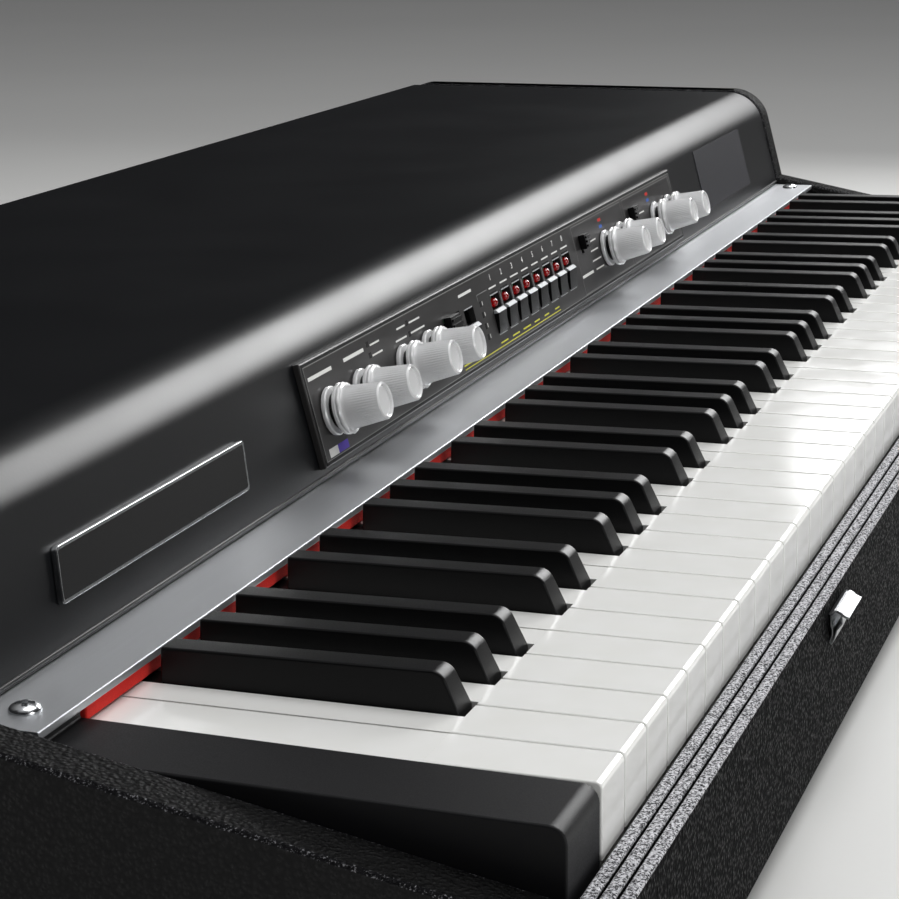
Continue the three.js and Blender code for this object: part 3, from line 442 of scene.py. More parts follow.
def added(whole, single, place=Matrix()):
    """Moves a finished shape into a larger one, and turns or shifts it on the way."""
    single.transform(place)
    carrier = bpy.data.meshes.new("carrier")
    single.to_mesh(carrier)
    single.free()
    whole.from_mesh(carrier)
    bpy.data.meshes.remove(carrier)


print("shapes start from", block.__name__, ",", prism.__name__, "or", turned.__name__)

# %% From a shape to a piece
CASE = "piano_case"


def shade(made, smooth_below):
    """Shades a piece smooth wherever its faces meet at less than an angle in degrees."""
    for face in made.data.polygons:
        face.use_smooth = True
    made.data.set_sharp_from_angle(angle=math.radians(smooth_below))
    even = made.modifiers.new("even shading", "WEIGHTED_NORMAL")
    even.keep_sharp = True


def piece(name, bm, body, material, place=KEY_FRAME, smooth_below=35):
    """Makes a shape an object that rides on a body."""
    bmesh.ops.recalc_face_normals(bm, faces=bm.faces[:])
    bm.transform(place)
    mesh = bpy.data.meshes.new(name)
    bm.to_mesh(mesh)
    bm.free()
    mesh.materials.append(material)
    made = bpy.data.objects.new(name, mesh)
    bpy.context.scene.collection.objects.link(made)
    shade(made, smooth_below)
    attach(made, body)
    return made


def settle(made, smooth_below=35):
    """Turns the modifiers that shape a piece into its own mesh, and shades that again."""
    made.modifiers.remove(made.modifiers["even shading"])
    evaluated = made.evaluated_get(bpy.context.evaluated_depsgraph_get())
    result = bpy.data.meshes.new_from_object(evaluated)
    made.modifiers.clear()
    old = made.data
    made.data = result
    bpy.data.meshes.remove(old)
    result.name = made.name
    shade(made, smooth_below)


def cut(target, cutter_bm, place):
    """Cuts a shape out of a piece, with any other modifiers that the piece has."""
    bmesh.ops.recalc_face_normals(cutter_bm, faces=cutter_bm.faces[:])
    cutter_bm.transform(place)
    tool_mesh = bpy.data.meshes.new("tool")
    cutter_bm.to_mesh(tool_mesh)
    cutter_bm.free()
    tool = bpy.data.objects.new("tool", tool_mesh)
    bpy.context.scene.collection.objects.link(tool)
    opening = target.modifiers.new("opening", "BOOLEAN")
    opening.object = tool
    opening.solver = "EXACT"
    opening.use_self = True
    settle(target)
    bpy.data.objects.remove(tool)
    bpy.data.meshes.remove(tool_mesh)


print("the root body is", CASE)

# %% [markdown]
# ## White keys
# A white key is a moulded cap: a wide head in front and a narrower tail between the black
# keys. The front edge is rounded by 2 mm and the sides by less, which draws the fine
# seams between keys. The tail lies a quarter of a millimetre lower than the head, and the
# step shows as a thin bright line level with the fronts of the black keys.

# %% Key sizes in millimetres
WHITE_COUNT = 43
WHITE_PITCH = 23.5
KEY_GAP = 1.0
HEAD_LENGTH = 50.0
FRONT_HEIGHT = 22.0
BODY_HEIGHT = 11.0
LIP_THICKNESS = 2.5
FRONT_ROUND = 2.0
SIDE_ROUND = 0.6
STEP_ROUND = 0.2
TAIL_STEP = 0.25
TAIL_OVERLAP = 3.0
TAIL_CLEARANCE = 0.1
BLACK_SLOT = 12.6
PIVOT_PLACE = 215.0
PIVOT_DEPTH = 10.0
PIVOT_RADIUS = 5.0
TAIL_TAPER = 22.0
WHITE_LETTERS = "EFGABCD"
BLACK_OFFSETS = {"F": -0.162, "G": 0.0, "A": 0.128, "C": -0.085, "D": 0.102}


def letter_of(index):
    """Note letter of a white key, counted from the left."""
    return WHITE_LETTERS[index % len(WHITE_LETTERS)]


def black_centre(boundary):
    """Middle of the black key above the boundary between two white keys, or None."""
    if not 0 < boundary < WHITE_COUNT:
        return None
    offset = BLACK_OFFSETS.get(letter_of(boundary - 1))
    return None if offset is None else (boundary + offset) * WHITE_PITCH


blacks = [boundary for boundary in range(WHITE_COUNT) if black_centre(boundary) is not None]
print(WHITE_COUNT, "white keys and", len(blacks), "black keys")

# %% One white key
def key_tail(bm, start, end, front, top):
    """The part of a key that runs back to its pivot, and the round barrel it turns on."""
    taper = PIVOT_PLACE - TAIL_TAPER
    prism(bm, [
        (front, -BODY_HEIGHT), (front, top), (taper, top),
        (PIVOT_PLACE, PIVOT_RADIUS - PIVOT_DEPTH), (PIVOT_PLACE, -BODY_HEIGHT),
    ], start, end)
    place = Matrix.Translation(((start + end) / 2, PIVOT_PLACE, -PIVOT_DEPTH))
    cylinder(bm, PIVOT_RADIUS, end - start, 16, place @ Matrix.Rotation(math.pi / 2, 4, "Y"))


def white_key(index):
    """A white key with its rounded head, its step and its tail."""
    bm = bmesh.new()
    start = index * WHITE_PITCH + KEY_GAP / 2
    end = (index + 1) * WHITE_PITCH - KEY_GAP / 2
    prism(bm, [
        (0, 0), (HEAD_LENGTH, 0), (HEAD_LENGTH, -BODY_HEIGHT),
        (LIP_THICKNESS, -BODY_HEIGHT), (LIP_THICKNESS, -FRONT_HEIGHT), (0, -FRONT_HEIGHT),
    ], start, end)
    rounded(bm, edges_where(bm, lambda co: abs(co.y) < NEAR and abs(co.z) < NEAR), FRONT_ROUND, 5)
    rim = []
    for side in (start, end):
        rim += edges_where(bm, lambda co: abs(co.x - side) < NEAR
                           and (co.z > -FRONT_ROUND - NEAR or co.y < NEAR))
    rounded(bm, rim, SIDE_ROUND, 3)
    step = edges_where(bm, lambda co: abs(co.y - HEAD_LENGTH) < NEAR and abs(co.z) < NEAR)
    rounded(bm, step, STEP_ROUND, 1)

    lower, upper = black_centre(index), black_centre(index + 1)
    tail_start = start + TAIL_CLEARANCE if lower is None else lower + BLACK_SLOT / 2
    tail_end = end - TAIL_CLEARANCE if upper is None else upper - BLACK_SLOT / 2
    key_tail(bm, tail_start, tail_end, HEAD_LENGTH - TAIL_OVERLAP, -TAIL_STEP)
    return bm


sample = white_key(0)
print("a white key has", len(sample.faces), "faces")
sample.free()

# %% [markdown]
# ## Black keys
# A black key stands 11.8 mm high in front and falls towards the rail. Its sides lean in,
# so the top is narrower than the foot, and the front face slopes back. The upper edges are
# well rounded: they carry the thin light lines that outline every black key in the picture.

# %% One black key
BLACK_FOOT_WIDTH = 11.2
BLACK_TOP_WIDTH = 9.5
BLACK_FRONT = 52.0
BLACK_SLANT = 5.6
BLACK_HEIGHT = 11.8
BLACK_REAR_HEIGHT = 10.3
BLACK_LENGTH = 92.5
BLACK_NOSE_ROUND = 2.9
BLACK_EDGE_ROUND = 0.8
BLACK_TAIL_DROP = 1.0


def black_key(boundary):
    """The black key above a boundary between two white keys."""
    bm = bmesh.new()
    centre = black_centre(boundary)
    half = BLACK_FOOT_WIDTH / 2
    rear = BLACK_FRONT + BLACK_LENGTH
    nose = BLACK_FRONT + BLACK_SLANT
    prism(bm, [
        (BLACK_FRONT, -BODY_HEIGHT), (BLACK_FRONT, 0), (nose, BLACK_HEIGHT),
        (rear, BLACK_REAR_HEIGHT), (rear, 0), (rear, -BODY_HEIGHT),
    ], centre - half, centre + half)
    for vert in bm.verts:
        if vert.co.z > NEAR:
            lean = (BLACK_FOOT_WIDTH - BLACK_TOP_WIDTH) / 2 * vert.co.z / BLACK_HEIGHT
            vert.co.x -= math.copysign(lean, vert.co.x - centre)
    nose_edge = edges_where(bm, lambda co: co.z > BLACK_HEIGHT - NEAR)
    rounded(bm, nose_edge, BLACK_NOSE_ROUND, 7)
    upper = [edge for edge in sharp_edges(bm, 40)
             if all(vert.co.z > -NEAR for vert in edge.verts)
             and any(vert.co.z > 1 for vert in edge.verts)]
    rounded(bm, upper, BLACK_EDGE_ROUND, 3)
    key_tail(bm, centre - half, centre + half, rear - TAIL_OVERLAP, -BLACK_TAIL_DROP)
    return bm


sample = black_key(blacks[0])
print("a black key has", len(sample.faces), "faces")
sample.free()

# %% [markdown]
# ## The keyboard
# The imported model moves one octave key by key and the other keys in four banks. Each bank
# is shown by two pieces, one for its white keys and one for its black keys, so that either
# colour can be given another finish on its own.

# %% Keys on their bodies
def keyboard_piece(name, shapes, node_name, material):
    """Keys of one colour as one piece, on the body of the node that they stand for."""
    whole = bmesh.new()
    for shape in shapes:
        added(whole, shape)
    made = piece(name, whole, f"{node_name}_body", material)
    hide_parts(node_name)


BANKS = {
    "key_bank_low": (0, 11),
    "key_bank_tenor": (12, 18),
    "key_bank_alto": (26, 32),
    "key_bank_high": (33, 42),
}
for bank, (first, last) in BANKS.items():
    place = bank.rpartition("_")[2]
    whites = [white_key(i) for i in range(first, last + 1)]
    darks = [black_key(i + 1) for i in range(first, last) if black_centre(i + 1) is not None]
    keyboard_piece(f"white_keys_{place}", whites, bank, white_acrylic)
    keyboard_piece(f"black_keys_{place}", darks, bank, black_abs)

FIRST_SINGLE, LAST_SINGLE = 19, 25
for i in range(FIRST_SINGLE, LAST_SINGLE + 1):
    letter = letter_of(i).lower()
    keyboard_piece(f"white_key_{letter}_4", [white_key(i)], f"key_{letter}_4",
                   white_acrylic)
    if black_centre(i + 1) is not None:
        keyboard_piece(f"black_key_{letter}_sharp_4", [black_key(i + 1)],
                       f"key_{letter}_sharp_4", black_abs)
print("banks:", len(BANKS), "and one octave of single keys")

# %% [markdown]
# ## Felt, rail and cheek blocks
# The red felt strip lies under the lip of the rail and stops the keys from knocking. Its
# cut edge is never quite straight, so the strip is divided along its length and its
# vertices are pushed about by a tenth of a millimetre. The noise that pushes them has a
# seed, so the felt comes out the same in every run. The rail's front edge is rounded only
# a little: that edge is the bright line along the whole keyboard.

# %% Felt strip
KEYBOARD_WIDTH = WHITE_COUNT * WHITE_PITCH
FELT_FRONT, FELT_REAR = 149.0, 157.0
FELT_FOOT, FELT_TOP, FELT_ROUND = 0.5, 5.9, 0.7
FELT_CUTS, WANDER_RATE, WANDER_Y, WANDER_Z = 500, 0.35, 0.14, 0.12
WANDER_SEED = 1795874249

felt_bm = bmesh.new()
block(felt_bm, (0, FELT_FRONT, FELT_FOOT), (KEYBOARD_WIDTH, FELT_REAR, FELT_TOP))
rounded(felt_bm, edges_where(felt_bm, lambda co: co.y < FELT_FRONT + NEAR), FELT_ROUND, 3)
along = [edge for edge in felt_bm.edges if abs(edge.verts[0].co.x - edge.verts[1].co.x) > 1]
bmesh.ops.subdivide_edges(felt_bm, edges=along, cuts=FELT_CUTS)
noise.seed_set(WANDER_SEED)
for vert in felt_bm.verts:
    wander = noise.noise_vector(vert.co * WANDER_RATE)
    vert.co.y += WANDER_Y * wander.y
    vert.co.z += WANDER_Z * wander.z
felt = piece("red_felt", felt_bm, CASE, wool_felt, smooth_below=60)
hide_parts("felt_strip")
print("felt strip has", len(felt.data.polygons), "faces")

# %% Rail with its screws
INNER_LEFT = -31.7
INNER_RIGHT = KEYBOARD_WIDTH - INNER_LEFT
RAIL_FRONT, RAIL_REAR = 146.7, 178.0
RAIL_FOOT, RAIL_TOP, RAIL_ROUND = 6.2, 8.8, 0.5
SCREW_INSET, SCREW_LINE, SCREW_TURN = 17.2, 158.5, 25
HEAD_RADIUS, HEAD_HEIGHT, HEAD_RIM, HEAD_STEPS = 4.7, 2.6, 0.35, 6
SHANK_RADIUS, SHANK_DEPTH = 0.6 * HEAD_RADIUS, 2.0
CROSS_ARM, CROSS_WIDTH, CROSS_DEPTH = 0.6 * HEAD_RADIUS, 0.16 * HEAD_RADIUS, 2.0

rail_bm = bmesh.new()
block(rail_bm, (INNER_LEFT, RAIL_FRONT, RAIL_FOOT), (INNER_RIGHT, RAIL_REAR, RAIL_TOP))
front_edges = edges_where(rail_bm, lambda co: co.y < RAIL_FRONT + NEAR)
rounded(rail_bm, front_edges, RAIL_ROUND, 4)
rail = piece("rail_extrusion", rail_bm, CASE, anodised)
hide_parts("rail")


def screw(name, place):
    """A dome head screw with a cross recess."""
    dome = bmesh.new()
    profile = [(0, -SHANK_DEPTH), (SHANK_RADIUS, -SHANK_DEPTH), (SHANK_RADIUS, 0),
               (HEAD_RADIUS, 0), (HEAD_RADIUS, HEAD_RIM)]
    for step in range(1, HEAD_STEPS + 1):
        angle = step / HEAD_STEPS * math.pi / 2
        profile.append((HEAD_RADIUS * math.cos(angle) if step < HEAD_STEPS else 0,
                        HEAD_RIM + (HEAD_HEIGHT - HEAD_RIM) * math.sin(angle)))
    turned(dome, profile, 32)
    made = piece(name, dome, CASE, chrome, place)
    cross, floor_height = bmesh.new(), HEAD_HEIGHT - CROSS_DEPTH
    for x, y in ((CROSS_ARM, CROSS_WIDTH), (CROSS_WIDTH, CROSS_ARM)):
        block(cross, (-x, -y, floor_height), (x, y, HEAD_HEIGHT + 1))
    cut(made, cross, place)
    print(name, "has", len(made.data.polygons), "faces")


for side, x in (("left", -SCREW_INSET), ("right", KEYBOARD_WIDTH + SCREW_INSET)):
    turn = Matrix.Rotation(math.radians(SCREW_TURN), 4, "Z")
    spot = Matrix.Translation((x, SCREW_LINE, RAIL_TOP))
    screw(f"rail_screw_{side}", KEY_FRAME @ spot @ turn)
print("rail length", round(INNER_RIGHT - INNER_LEFT, 1), "mm")

# %% Cheek blocks
CHEEK_WIDTH = 30.5
CHEEK_FRONT_TOP, CHEEK_REAR_TOP, CHEEK_STEP = 0.2, 2.2, 150.0
CHEEK_REAR, CHEEK_FOOT = 196.0, -43.7
CHEEK_UNDER_RAIL = RAIL_FOOT - 0.3
CHEEK_NOSE_ROUND, CHEEK_EDGE_ROUND = 5, 0.8

for side, start in (("left", INNER_LEFT), ("right", INNER_RIGHT - CHEEK_WIDTH)):
    cheek_bm = bmesh.new()
    prism(cheek_bm, [
        (0, CHEEK_FOOT), (0, CHEEK_FRONT_TOP), (CHEEK_STEP, CHEEK_REAR_TOP),
        (CHEEK_STEP, CHEEK_UNDER_RAIL), (CHEEK_REAR, CHEEK_UNDER_RAIL),
        (CHEEK_REAR, CHEEK_FOOT),
    ], start, start + CHEEK_WIDTH)
    nose = edges_where(
        cheek_bm, lambda co: abs(co.y) < NEAR and abs(co.z - CHEEK_FRONT_TOP) < NEAR
    )
    rounded(cheek_bm, nose, CHEEK_NOSE_ROUND, 6)
    shown = [edge for edge in sharp_edges(cheek_bm)
             if all(vert.co.z > CHEEK_FOOT + 1 or vert.co.y < NEAR for vert in edge.verts)]
    rounded(cheek_bm, shown, CHEEK_EDGE_ROUND, 3)
    cheek = piece(f"cheek_block_{side}", cheek_bm, CASE, satin_black)
    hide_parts(f"cheek_{side}")
print("cheek blocks are", CHEEK_WIDTH, "mm wide")

# %% [markdown]
# ## The bent top cover
# The cover is one sheet of steel, 2 mm thick, folded over a large radius. It starts as a
# strip of four flat faces, and the fold is rounded by a bevel in many steps, because the
# long highlight on this bend is the first thing seen. A Solidify modifier gives it its
# thickness towards the inside, and the openings for the controls are cut last. The control
# panel lies on it: a plate of acrylic whose polished round edges draw a bright outline.

# %% Cover sheet
COVER_TOP, COVER_REAR, COVER_THICKNESS, BEND_RADIUS = 69.0, 427.0, 2.0, 22.0
FLANGE_END, FLANGE_ROUND, BEND_STEPS = 182.0, 0.6, 24
face_rise = COVER_TOP - COVER_FOOT_HEIGHT
fold_place = COVER_FOOT + face_rise * math.tan(COVER_LEAN)
# A bevel starts so far from a fold of this angle to give it a radius of one
per_radius = math.tan((math.pi / 2 - COVER_LEAN) / 2)

cover_bm = bmesh.new()
strip(cover_bm, [
    (FLANGE_END, COVER_FOOT_HEIGHT), (COVER_FOOT, COVER_FOOT_HEIGHT),
    (fold_place, COVER_TOP), (COVER_REAR, COVER_TOP),
], INNER_LEFT, INNER_RIGHT)
fold = edges_where(cover_bm, lambda co: abs(co.y - fold_place) < NEAR and co.z > COVER_TOP - 1)
rounded(cover_bm, fold, BEND_RADIUS * per_radius, BEND_STEPS)
foot = edges_where(cover_bm, lambda co: abs(co.y - COVER_FOOT) < NEAR)
rounded(cover_bm, foot, FLANGE_ROUND, 3)
bend_start = face_rise / math.cos(COVER_LEAN) - BEND_RADIUS * per_radius
print("the bend starts", round(bend_start, 1), "mm up the face")

# %% Cover thickness
cover = piece("bent_cover", cover_bm, CASE, cover_paint)
leaning = [face for face in cover.data.polygons
           if abs(face.normal.x) < NEAR and abs(face.normal.y) > 0.5]
if max(leaning, key=lambda face: face.area).normal.y > 0:
    cover.data.flip_normals()
wall = cover.modifiers.new("sheet thickness", "SOLIDIFY")
wall.thickness = COVER_THICKNESS * MM
wall.offset = -1
wall.use_even_offset = True
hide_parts("top_cover")
print("the sheet is", COVER_THICKNESS, "mm thick")

# %% Openings through the panel and the cover
PANEL_TOP = 3.0
CONTROL_LINE = 23.0
SHAFT_HOLE, HOLE_DEPTH = 4.0, 10
WINDOW_WIDTH, WINDOW_FOOT, WINDOW_HEIGHT = 12.4, 13.8, 17.35
WINDOW_HEAD = WINDOW_FOOT + WINDOW_HEIGHT
BANK_SLOT_WIDTH, BANK_SLOT_FOOT, BANK_SLOT_HEIGHT = 21.6, 24.6, 8.0
EFFECT_LINE, EFFECT_SLOT, EFFECT_SLOT_HEAD = 32.4, (4.0, 7.6), 34.2
KNOBS = [f"knob_{i}" for i in range(1, 9)]
BUTTONS = [f"button_{i}" for i in range(1, 9)]
EFFECT_SLIDES = ["effect_slide_1", "effect_slide_2"]


def across(node_name):
    """Start and end of a control along the face, from the box of its node."""
    low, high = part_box(node_name)
    return (low.x - KEYBOARD_CORNER.x) / MM, (high.x - KEYBOARD_CORNER.x) / MM


def middle_of(node_name):
    """Middle of a control along the face."""
    return sum(across(node_name)) / 2


def openings():
    """Everything that goes through the panel and the cover behind it."""
    holes = bmesh.new()
    for name in KNOBS:
        spot = Matrix.Translation((middle_of(name), CONTROL_LINE, 0))
        cylinder(holes, SHAFT_HOLE, 2 * HOLE_DEPTH, 24, spot)
    slots = []
    for name in BUTTONS + ["bank_button"]:
        slots.append((middle_of(name) - WINDOW_WIDTH / 2, WINDOW_FOOT, WINDOW_WIDTH,
                      WINDOW_HEIGHT))
    slots.append((across("bank_slide")[0], BANK_SLOT_FOOT, BANK_SLOT_WIDTH, BANK_SLOT_HEIGHT))
    for name in EFFECT_SLIDES:
        width, height = EFFECT_SLOT
        slots.append((middle_of(name) - width / 2, EFFECT_SLOT_HEAD - height, width, height))
    for left, foot_line, width, height in slots:
        block(holes, (left, foot_line, -HOLE_DEPTH),
              (left + width, foot_line + height, HOLE_DEPTH))
    return holes


cut(cover, openings(), FACE_FRAME)
print("cover has", len(cover.data.polygons), "faces with its openings")

# %% Hem along the foot of the cover
HEM_FOOT, HEM_HEIGHT, HEM_RISE, HEM_SINK, HEM_ROUND = 0.9, 1.3, 0.6, 0.2, 0.45

hem_bm = bmesh.new()
block(hem_bm, (INNER_LEFT, HEM_FOOT, -HEM_SINK), (INNER_RIGHT, HEM_FOOT + HEM_HEIGHT, HEM_RISE))
rounded(hem_bm, edges_where(hem_bm, lambda co: co.z > HEM_RISE - NEAR), HEM_ROUND, 3)
piece("cover_hem", hem_bm, CASE, cover_paint, FACE_FRAME)
print("the hem is", HEM_HEIGHT, "mm high")

# %% Control panel
PANEL_LEFT, PANEL_RIGHT = across("control_panel")
PANEL_FOOT, PANEL_HEIGHT, PANEL_SEAT, PANEL_ROUND = 4.8, 39.8, 0.3, 0.9
PANEL_HEAD = PANEL_FOOT + PANEL_HEIGHT

panel_bm = bmesh.new()
block(panel_bm, (PANEL_LEFT, PANEL_FOOT, PANEL_SEAT), (PANEL_RIGHT, PANEL_HEAD, PANEL_TOP))
rounded(panel_bm, edges_where(panel_bm, lambda co: co.z > PANEL_TOP - NEAR), PANEL_ROUND, 3)
control_panel = piece("smoked_panel", panel_bm, CASE, smoked_acrylic,
                      FACE_FRAME)
cut(control_panel, openings(), FACE_FRAME)
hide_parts("control_panel")
print("the panel is", round(PANEL_RIGHT - PANEL_LEFT, 1), "by", PANEL_HEIGHT, "mm")

# %% [markdown]
# ## The vinyl covered case
# Side panels stand 1 mm proud of the cover and round over at every edge. They start as a
# plain outline run along the X axis, and their corners are rounded by the bevel operator at
# their real radii. Glints on those rounds are painted: a copy of them is kept and given a
# skin a tenth of a millimetre thick in a paler, speckled vinyl. The front board carries three
# long ribs: their crests are capped in a paler vinyl still, whose light grain is painted
# sheen, with a dark groove either side of the middle rib.

# %% Side panels
SIDE_THICKNESS, SIDE_PROUD, SIDE_EDGE, SIDE_GAP = 18.0, 1.0, 2.0, 0.3
CASE_FRONT, CASE_REAR, CASE_FOOT = -15.2, 430.0, -79.0
SIDE_FRONT_TOP, WALL_RISE = -22.0, 13.2
GLINT_FOOT, GLINT_SKIN = -30.0, -0.08
proud_y = COVER_FOOT - SIDE_PROUD * math.cos(COVER_LEAN)
proud_z = COVER_FOOT_HEIGHT + SIDE_PROUD * math.sin(COVER_LEAN)


def face_line(z, start_y, start_z):
    """Y of the leaning cover face at a height."""
    return start_y + (z - start_z) * math.tan(COVER_LEAN)


side_top = COVER_TOP + SIDE_PROUD
shoulder = face_line(side_top, proud_y, proud_z)
SIDE_LINE = [
    (CASE_FRONT, CASE_FOOT), (CASE_FRONT, SIDE_FRONT_TOP),
    (face_line(WALL_RISE, proud_y, proud_z), WALL_RISE), (shoulder, side_top),
    (CASE_REAR, side_top), (CASE_REAR, CASE_FOOT),
]
SIDE_ROUNDS = [
    ((CASE_FRONT, SIDE_FRONT_TOP), 5.0, 5),
    ((shoulder, side_top), (BEND_RADIUS + SIDE_PROUD) * per_radius, 16),
    ((CASE_REAR, side_top), 12.0, 8),
]
for side, start in (("left", INNER_LEFT - SIDE_GAP - SIDE_THICKNESS),
                    ("right", INNER_RIGHT + SIDE_GAP)):
    side_bm = bmesh.new()
    prism(side_bm, SIDE_LINE, start, start + SIDE_THICKNESS)
    for (y, z), offset, segments in SIDE_ROUNDS:
        corner = edges_where(side_bm, lambda co: abs(co.y - y) < NEAR and abs(co.z - z) < NEAR)
        rounded(side_bm, corner, offset, segments)
    rims = []
    for plane in (start, start + SIDE_THICKNESS):
        rims += edges_where(side_bm, lambda co: abs(co.x - plane) < NEAR)
    rounded(side_bm, rims, SIDE_EDGE, 3)
    # A copy of the rounds gets a thin skin of paler vinyl that carries painted glints.
    glint_bm = side_bm.copy()
    panel = piece(f"vinyl_side_{side}", side_bm, CASE, board_vinyl)
    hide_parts(f"case_side_{side}")

    glint_bm.normal_update()
    flat = [face for face in glint_bm.faces
            if abs(face.normal.x) > 0.95 or face.calc_center_median().z < GLINT_FOOT]
    bmesh.ops.delete(glint_bm, geom=flat, context="FACES")
    bmesh.ops.solidify(glint_bm, geom=glint_bm.faces[:], thickness=GLINT_SKIN)
    piece(f"vinyl_edges_{side}", glint_bm, CASE, edge_glint_vinyl)
print("side panels stand", SIDE_PROUD, "mm proud of the cover")

# %% Front board with its ribs
RIB_COUNT, RIB_WIDTH, RIB_GROOVE, RIB_HEIGHT = 3, 3.8, 1.0, 2.2
FRONT_INNER, FRONT_TOP, CREST, CREST_ROUND = -1.8, -20.0, 0.9, 0.7
RIB_INSET, RIB_ROOT, RIB_LAP = 0.05, 1.0, 0.1

front_bm = bmesh.new()
block(front_bm, (INNER_LEFT, CASE_FRONT, CASE_FOOT),
      (INNER_RIGHT, FRONT_INNER, FRONT_TOP - RIB_HEIGHT))
ribs_bm = bmesh.new()
for i in range(RIB_COUNT):
    rib_start = CASE_FRONT + i * (RIB_WIDTH + RIB_GROOVE)
    rib_end = rib_start + RIB_WIDTH
    block(front_bm, (INNER_LEFT, rib_start + RIB_INSET, FRONT_TOP - RIB_HEIGHT - RIB_ROOT),
          (INNER_RIGHT, rib_end - RIB_INSET, FRONT_TOP - CREST + RIB_LAP))
    # Crest caps in the paler vinyl carry painted sheen.
    block(ribs_bm, (INNER_LEFT, rib_start, FRONT_TOP - CREST), (INNER_RIGHT, rib_end, FRONT_TOP))
crests = [edge for edge in edges_where(ribs_bm, lambda co: abs(co.z - FRONT_TOP) < NEAR)
          if abs(edge.verts[0].co.x - edge.verts[1].co.x) > 1]
rounded(ribs_bm, crests, CREST_ROUND, 3)
front = piece("vinyl_front", front_bm, CASE, shaded_front_vinyl)
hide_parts("case_front")
piece("vinyl_ribs", ribs_bm, CASE, rib_sheen_vinyl)
print("front board has", RIB_COUNT, "ribs of", RIB_WIDTH, "mm")

# %% [markdown]
# ## Lid catches
# Each catch is sheet steel in satin chrome: a lip that curls out and down for the lid to
# hook over, and under it a hollow loop that bulges, narrows and ends in a tail against the
# board. A strip of flat faces is run along X, its folds are rounded, and Solidify makes it
# a sheet.

# %% Catches
CATCH_WIDTH, CATCH_PLACE = 25.0, 240.0
CATCH_SHEET, LOOP_SHEET, LOOP_INSET = 0.9, 0.5, 2.0
LIP_BEND, LOOP_BEND, SHEET_ROUND = 1.4, 0.8, 0.15
CATCH_WALL = CASE_FRONT - 0.3
LIP_LINE = [(CATCH_WALL - 0.1, -27.0), (CATCH_WALL - 1.2, -25.4), (CATCH_WALL - 3.2, -25.5),
            (CATCH_WALL - 5.2, -27.2), (CATCH_WALL - 6.9, -27.7)]
LOOP_LINE = [(CATCH_WALL - 4.0, -27.4), (CATCH_WALL - 4.2, -30.6), (CATCH_WALL - 2.4, -33.0),
             (CATCH_WALL - 1.8, -35.6), (CATCH_WALL - 0.6, -38.4), (CATCH_WALL - 0.2, -38.0),
             (CATCH_WALL - 0.8, -35.2), (CATCH_WALL - 0.9, -33.2), (CATCH_WALL - 0.3, -31.6),
             (CATCH_WALL - 0.3, -28.2)]


def bent_strip(name, line, start, width, bend, thickness):
    """A bent strip of sheet metal in satin chrome."""
    bm = bmesh.new()
    strip(bm, line, start, start + width)
    rounded(bm, [edge for edge in bm.edges if len(edge.link_faces) == 2], bend, 5)
    made = piece(name, bm, CASE, satin_chrome, smooth_below=50)
    wall = made.modifiers.new("sheet thickness", "SOLIDIFY")
    wall.thickness = thickness * MM
    wall.offset = 0
    edge_round = made.modifiers.new("rolled edges", "BEVEL")
    edge_round.width = SHEET_ROUND * MM
    edge_round.segments = 2
    edge_round.limit_method = "ANGLE"
    edge_round.angle_limit = math.radians(60)
    settle(made, 50)
    return made


for side, start in (("left", CATCH_PLACE), ("right", KEYBOARD_WIDTH - CATCH_PLACE - CATCH_WIDTH)):
    lip = bent_strip(f"catch_lip_{side}", LIP_LINE, start, CATCH_WIDTH, LIP_BEND, CATCH_SHEET)
    bent_strip(f"catch_loop_{side}", LOOP_LINE, start + LOOP_INSET,
               CATCH_WIDTH - 2 * LOOP_INSET, LOOP_BEND, LOOP_SHEET)
    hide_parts(f"lid_catch_{side}")
print("catches are", CATCH_WIDTH, "mm wide")

# %% [markdown]
# ## Knobs
# A knob is turned from clear acrylic. Reading its profile outwards: a base ring, a neck, a
# double collar with soft scallops, and a long body with 48 fine flutes that ends in a
# rounded rim around a shallow recess. The profile is spun about the shaft, and every second
# line of vertices on the body is then drawn in to form the flutes. The gap at the neck lies
# in shade on the real knob, so a black ring of its own is spun around the neck as painted shade.

# %% Knob shape
KNOB_PROFILE = [
    (0, -9.5), (3, -9.5), (3, 0), (8.9, 0), (9.3, 0.4), (9.3, 1.6), (8.9, 2.0), (6.4, 2.1),
    (6.2, 2.3), (6.2, 4.3), (7.6, 4.5), (9.4, 4.6), (9.9, 5.0), (9.9, 5.7), (9.4, 6.1),
    (9.4, 6.3), (9.9, 6.7), (9.9, 7.2), (9.5, 7.6), (8.6, 7.9), (8.3, 8.4), (8.15, 9.2),
    (7.6, 15.4), (7.1, 21.2), (7.0, 21.9), (6.6, 22.4), (6.2, 22.5), (5.8, 22.3),
    (5.6, 21.9), (5.5, 21.3), (0, 21.1),
]
NECK_SHADE_PROFILE = [(5.9, 2.2), (6.7, 2.2), (6.7, 4.4), (5.9, 4.4), (5.9, 2.2)]
FLUTE_DEPTH, FLUTE_START, FLUTE_END = 0.16, 9.0, 21.5
FLUTED_RADIUS = 6.5
SCALLOP_COUNT, SCALLOP_DEPTH = 12, 0.22
SCALLOP_START, SCALLOP_END, SCALLOPED_RADIUS = 4.9, 7.3, 9.3
KNOB_STEPS = 96
KNOB_SEAT = PANEL_TOP + 0.3


